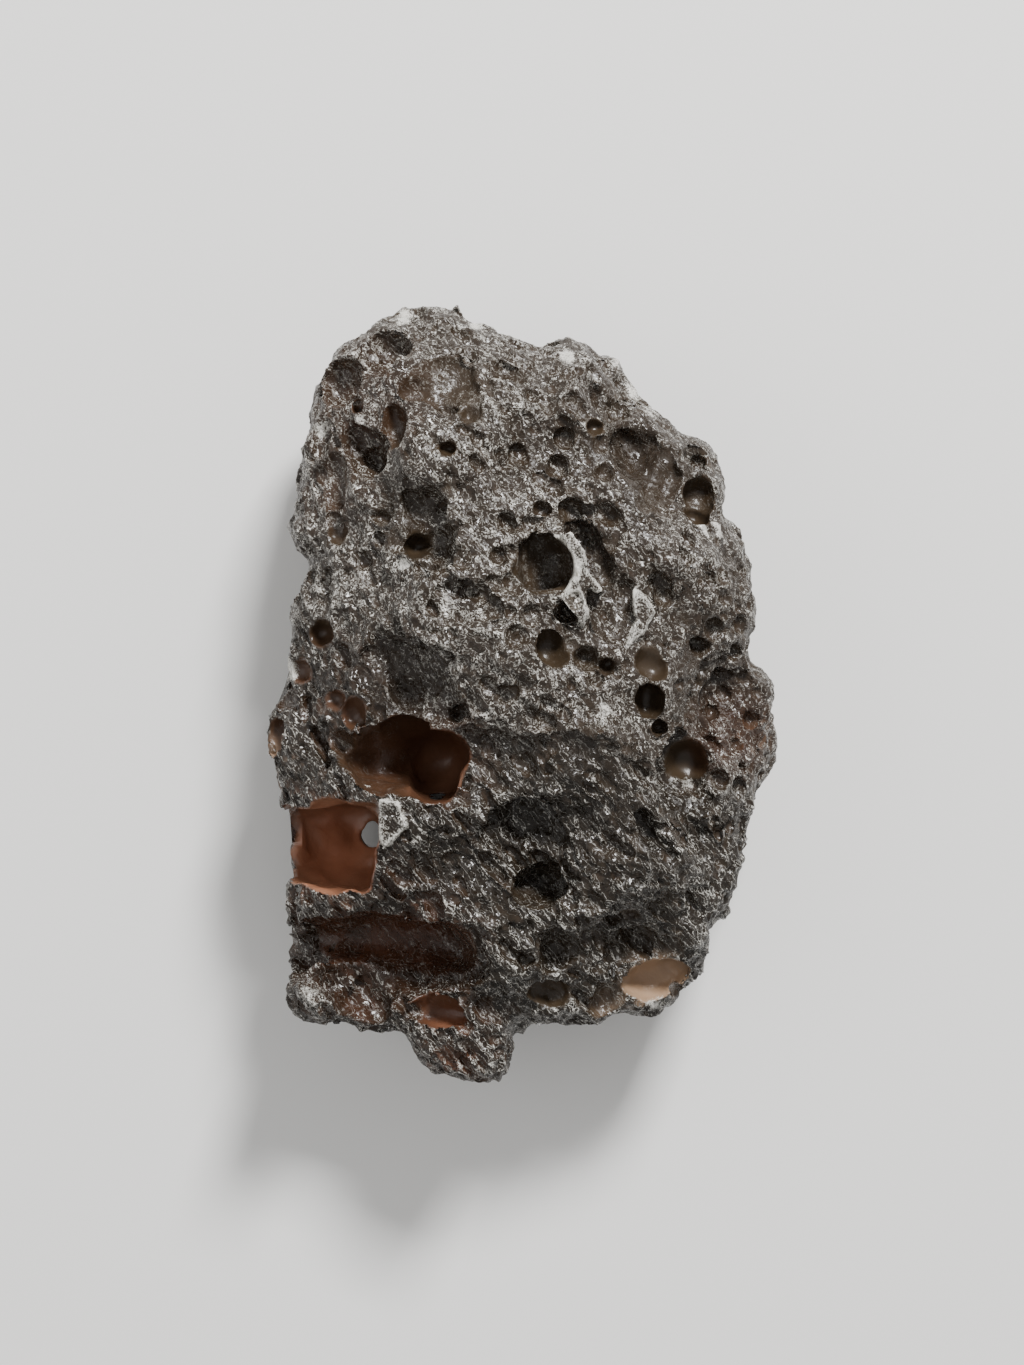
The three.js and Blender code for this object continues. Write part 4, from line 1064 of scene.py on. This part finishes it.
    # darker crust below the crest, partly painted shade
    shell = nodes.blend(0.8 * flank, shell, look["flankCleanAndShadeColour"])
    colour = nodes.blend(crust * (1 - 0.6 * thin), colour, shell)
    # painted light and shade in hollows, where the ridge attribute shows a concave place
    colour = nodes.blend(0.6 * nodes.smooth(ridge, -0.1, -0.35), colour, look["hollowLightAndShadeColour"])
    # the brightest frost turns from grey to white, painted as glints
    white = nodes.blend(nodes.smooth(level, 0.3, 2.2), look["frostColour"], look["splinterAndGlintColour"])
    # on polished glass the frost stays only on convex rims, as a painted highlight
    crustAndRimHighlight = crust.reckon("MAXIMUM", nodes.smooth(ridge, 0.12, 0.4))
    colour = nodes.blend(frost * (0.15 + 0.85 * crustAndRimHighlight), colour, white)
    # painted glints: white threads and filaments, then a few chips painted white
    colour = nodes.blend(glintThread * crust, colour, look["splinterAndGlintColour"])
    colour = nodes.blend(paintedGlint * crust, colour, look["splinterAndGlintColour"])
    whole = nodes.smooth(pale, 0.85, 0.97) * nodes.smooth(ridge + 0.5 * (needles - 0.5), 0.35, 0)
    flake = nodes.blend(whole, look["splinterAndGlintColour"], look["flakeColour"])
    colour = nodes.blend(splinterAndGlint, colour, flake)

    # roughness and relief
    dull = look["wallRoughness"] + (look["crustRoughness"] - look["wallRoughness"]) * crust
    smoother = nodes.smooth(chip, 0.4, 0.5) * crust
    roughness = dull - look["chipPolish"] * smoother
    streakRise, hairRise, needleRise = look["reliefParts"]
    height = streakRise * streaks + hairRise * hairs + needleRise * flank * needles
    bump = nodes.add("ShaderNodeBump", {}, {
        "Strength": 1 - 0.8 * smoother, "Distance": look["relief"] * mm,
        "Height": height * (0.1 + 0.9 * (1 - polish))})
    crustTilt, smoothTilt = look["chipTilt"]
    lean = nodes.vector("SUBTRACT", chips, (0.5, 0.5, 0.5))
    tilt = nodes.scaled(lean, crustTilt * crust + smoothTilt * smoother)
    normal = nodes.vector("NORMALIZE", nodes.vector("ADD", bump, tilt))
    shader = nodes.add("ShaderNodeBsdfPrincipled", {}, {
        "Base Color": colour, "Roughness": roughness, "Normal": normal, "IOR": look["ior"],
        "Transmission Weight": look["transmission"], "Specular IOR Level": look["specular"]})
    absorption = nodes.add("ShaderNodeVolumeAbsorption", {}, {
        "Color": look["absorptionColour"], "Density": look["absorptionDensity"]})
    nodes.add("ShaderNodeOutputMaterial", {}, {"Surface": shader, "Volume": absorption})
    return material


piece = buildStone()
piece.data.materials.append(glassMaterial())
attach(piece, "root")
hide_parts("tektite")
print("piece", piece.name)


# A pale floor, two soft lights and the camera, in metres.
studio = {
    "floorSize": 1.2,
    "floorColour": (0.83, 0.82, 0.8),
    "floorRoughness": 0.8,
    "cameraHeight": 0.2,  # above the stone's waist
    "picture": (1024, 1365),
    "pixelsPerMm": 19.25,
    "stoneMiddle": (521.5, 693.5),  # pixels
    "nearest": 0.01,  # that the camera sees
    "world": 0.55,  # strength of the white light from all around
    "key": ((0.1, 0.24, 0.26), 0.08, 2.5),  # place, size and watts
    "fill": ((-0.3, 0.0, 0.25), 0.3, 0.3),
}


def plainMaterial(name, colour, roughness):
    material = bpy.data.materials.new(name)
    material.use_nodes = True
    shader = material.node_tree.nodes["Principled BSDF"]
    shader.inputs["Base Color"].default_value = (*colour, 1)
    shader.inputs["Roughness"].default_value = roughness
    return material


half = studio["floorSize"] / 2
floorMesh = bpy.data.meshes.new("floor")
floorCorners = [(-half, -half, 0), (half, -half, 0), (half, half, 0), (-half, half, 0)]
floorMesh.from_pydata(floorCorners, [], [(0, 1, 2, 3)])
floor = bpy.data.objects.new("floor", floorMesh)
scene.collection.objects.link(floor)
floorMesh.materials.append(plainMaterial("paleFloor", studio["floorColour"], studio["floorRoughness"]))

world = bpy.data.worlds.new("studio")
scene.world = world
world.use_nodes = True
world.node_tree.nodes["Background"].inputs["Color"].default_value = (1, 1, 1, 1)
world.node_tree.nodes["Background"].inputs["Strength"].default_value = studio["world"]

for name in ("key", "fill"):
    place, size, watts = studio[name]
    light = bpy.data.objects.new(name, bpy.data.lights.new(name, "AREA"))
    light.data.size = size
    light.data.energy = watts
    light.location = place
    # it shines along its own -Z, so that is turned towards the stone's middle
    towards = np.array([0, 0, waist * mm]) - place
    light.rotation_euler = (math.atan2(math.hypot(towards[0], towards[1]), -towards[2]), 0,
                            math.atan2(towards[1], towards[0]) - math.pi / 2)
    scene.collection.objects.link(light)

camera = bpy.data.objects.new("camera", bpy.data.cameras.new("camera"))
scene.collection.objects.link(camera)
scene.camera = camera
# straight above, at the height from which the stone fills its part of the picture
width, tall = studio["picture"]
scale = studio["pixelsPerMm"] / mm
across, up = studio["stoneMiddle"][0] - width / 2, tall / 2 - studio["stoneMiddle"][1]
camera.location = (-across / scale, -up / scale, waist * mm + studio["cameraHeight"])
camera.data.sensor_fit = "VERTICAL"
camera.data.angle = 2 * math.atan(tall / scale / 2 / studio["cameraHeight"])
camera.data.clip_start = studio["nearest"]
print("studio")
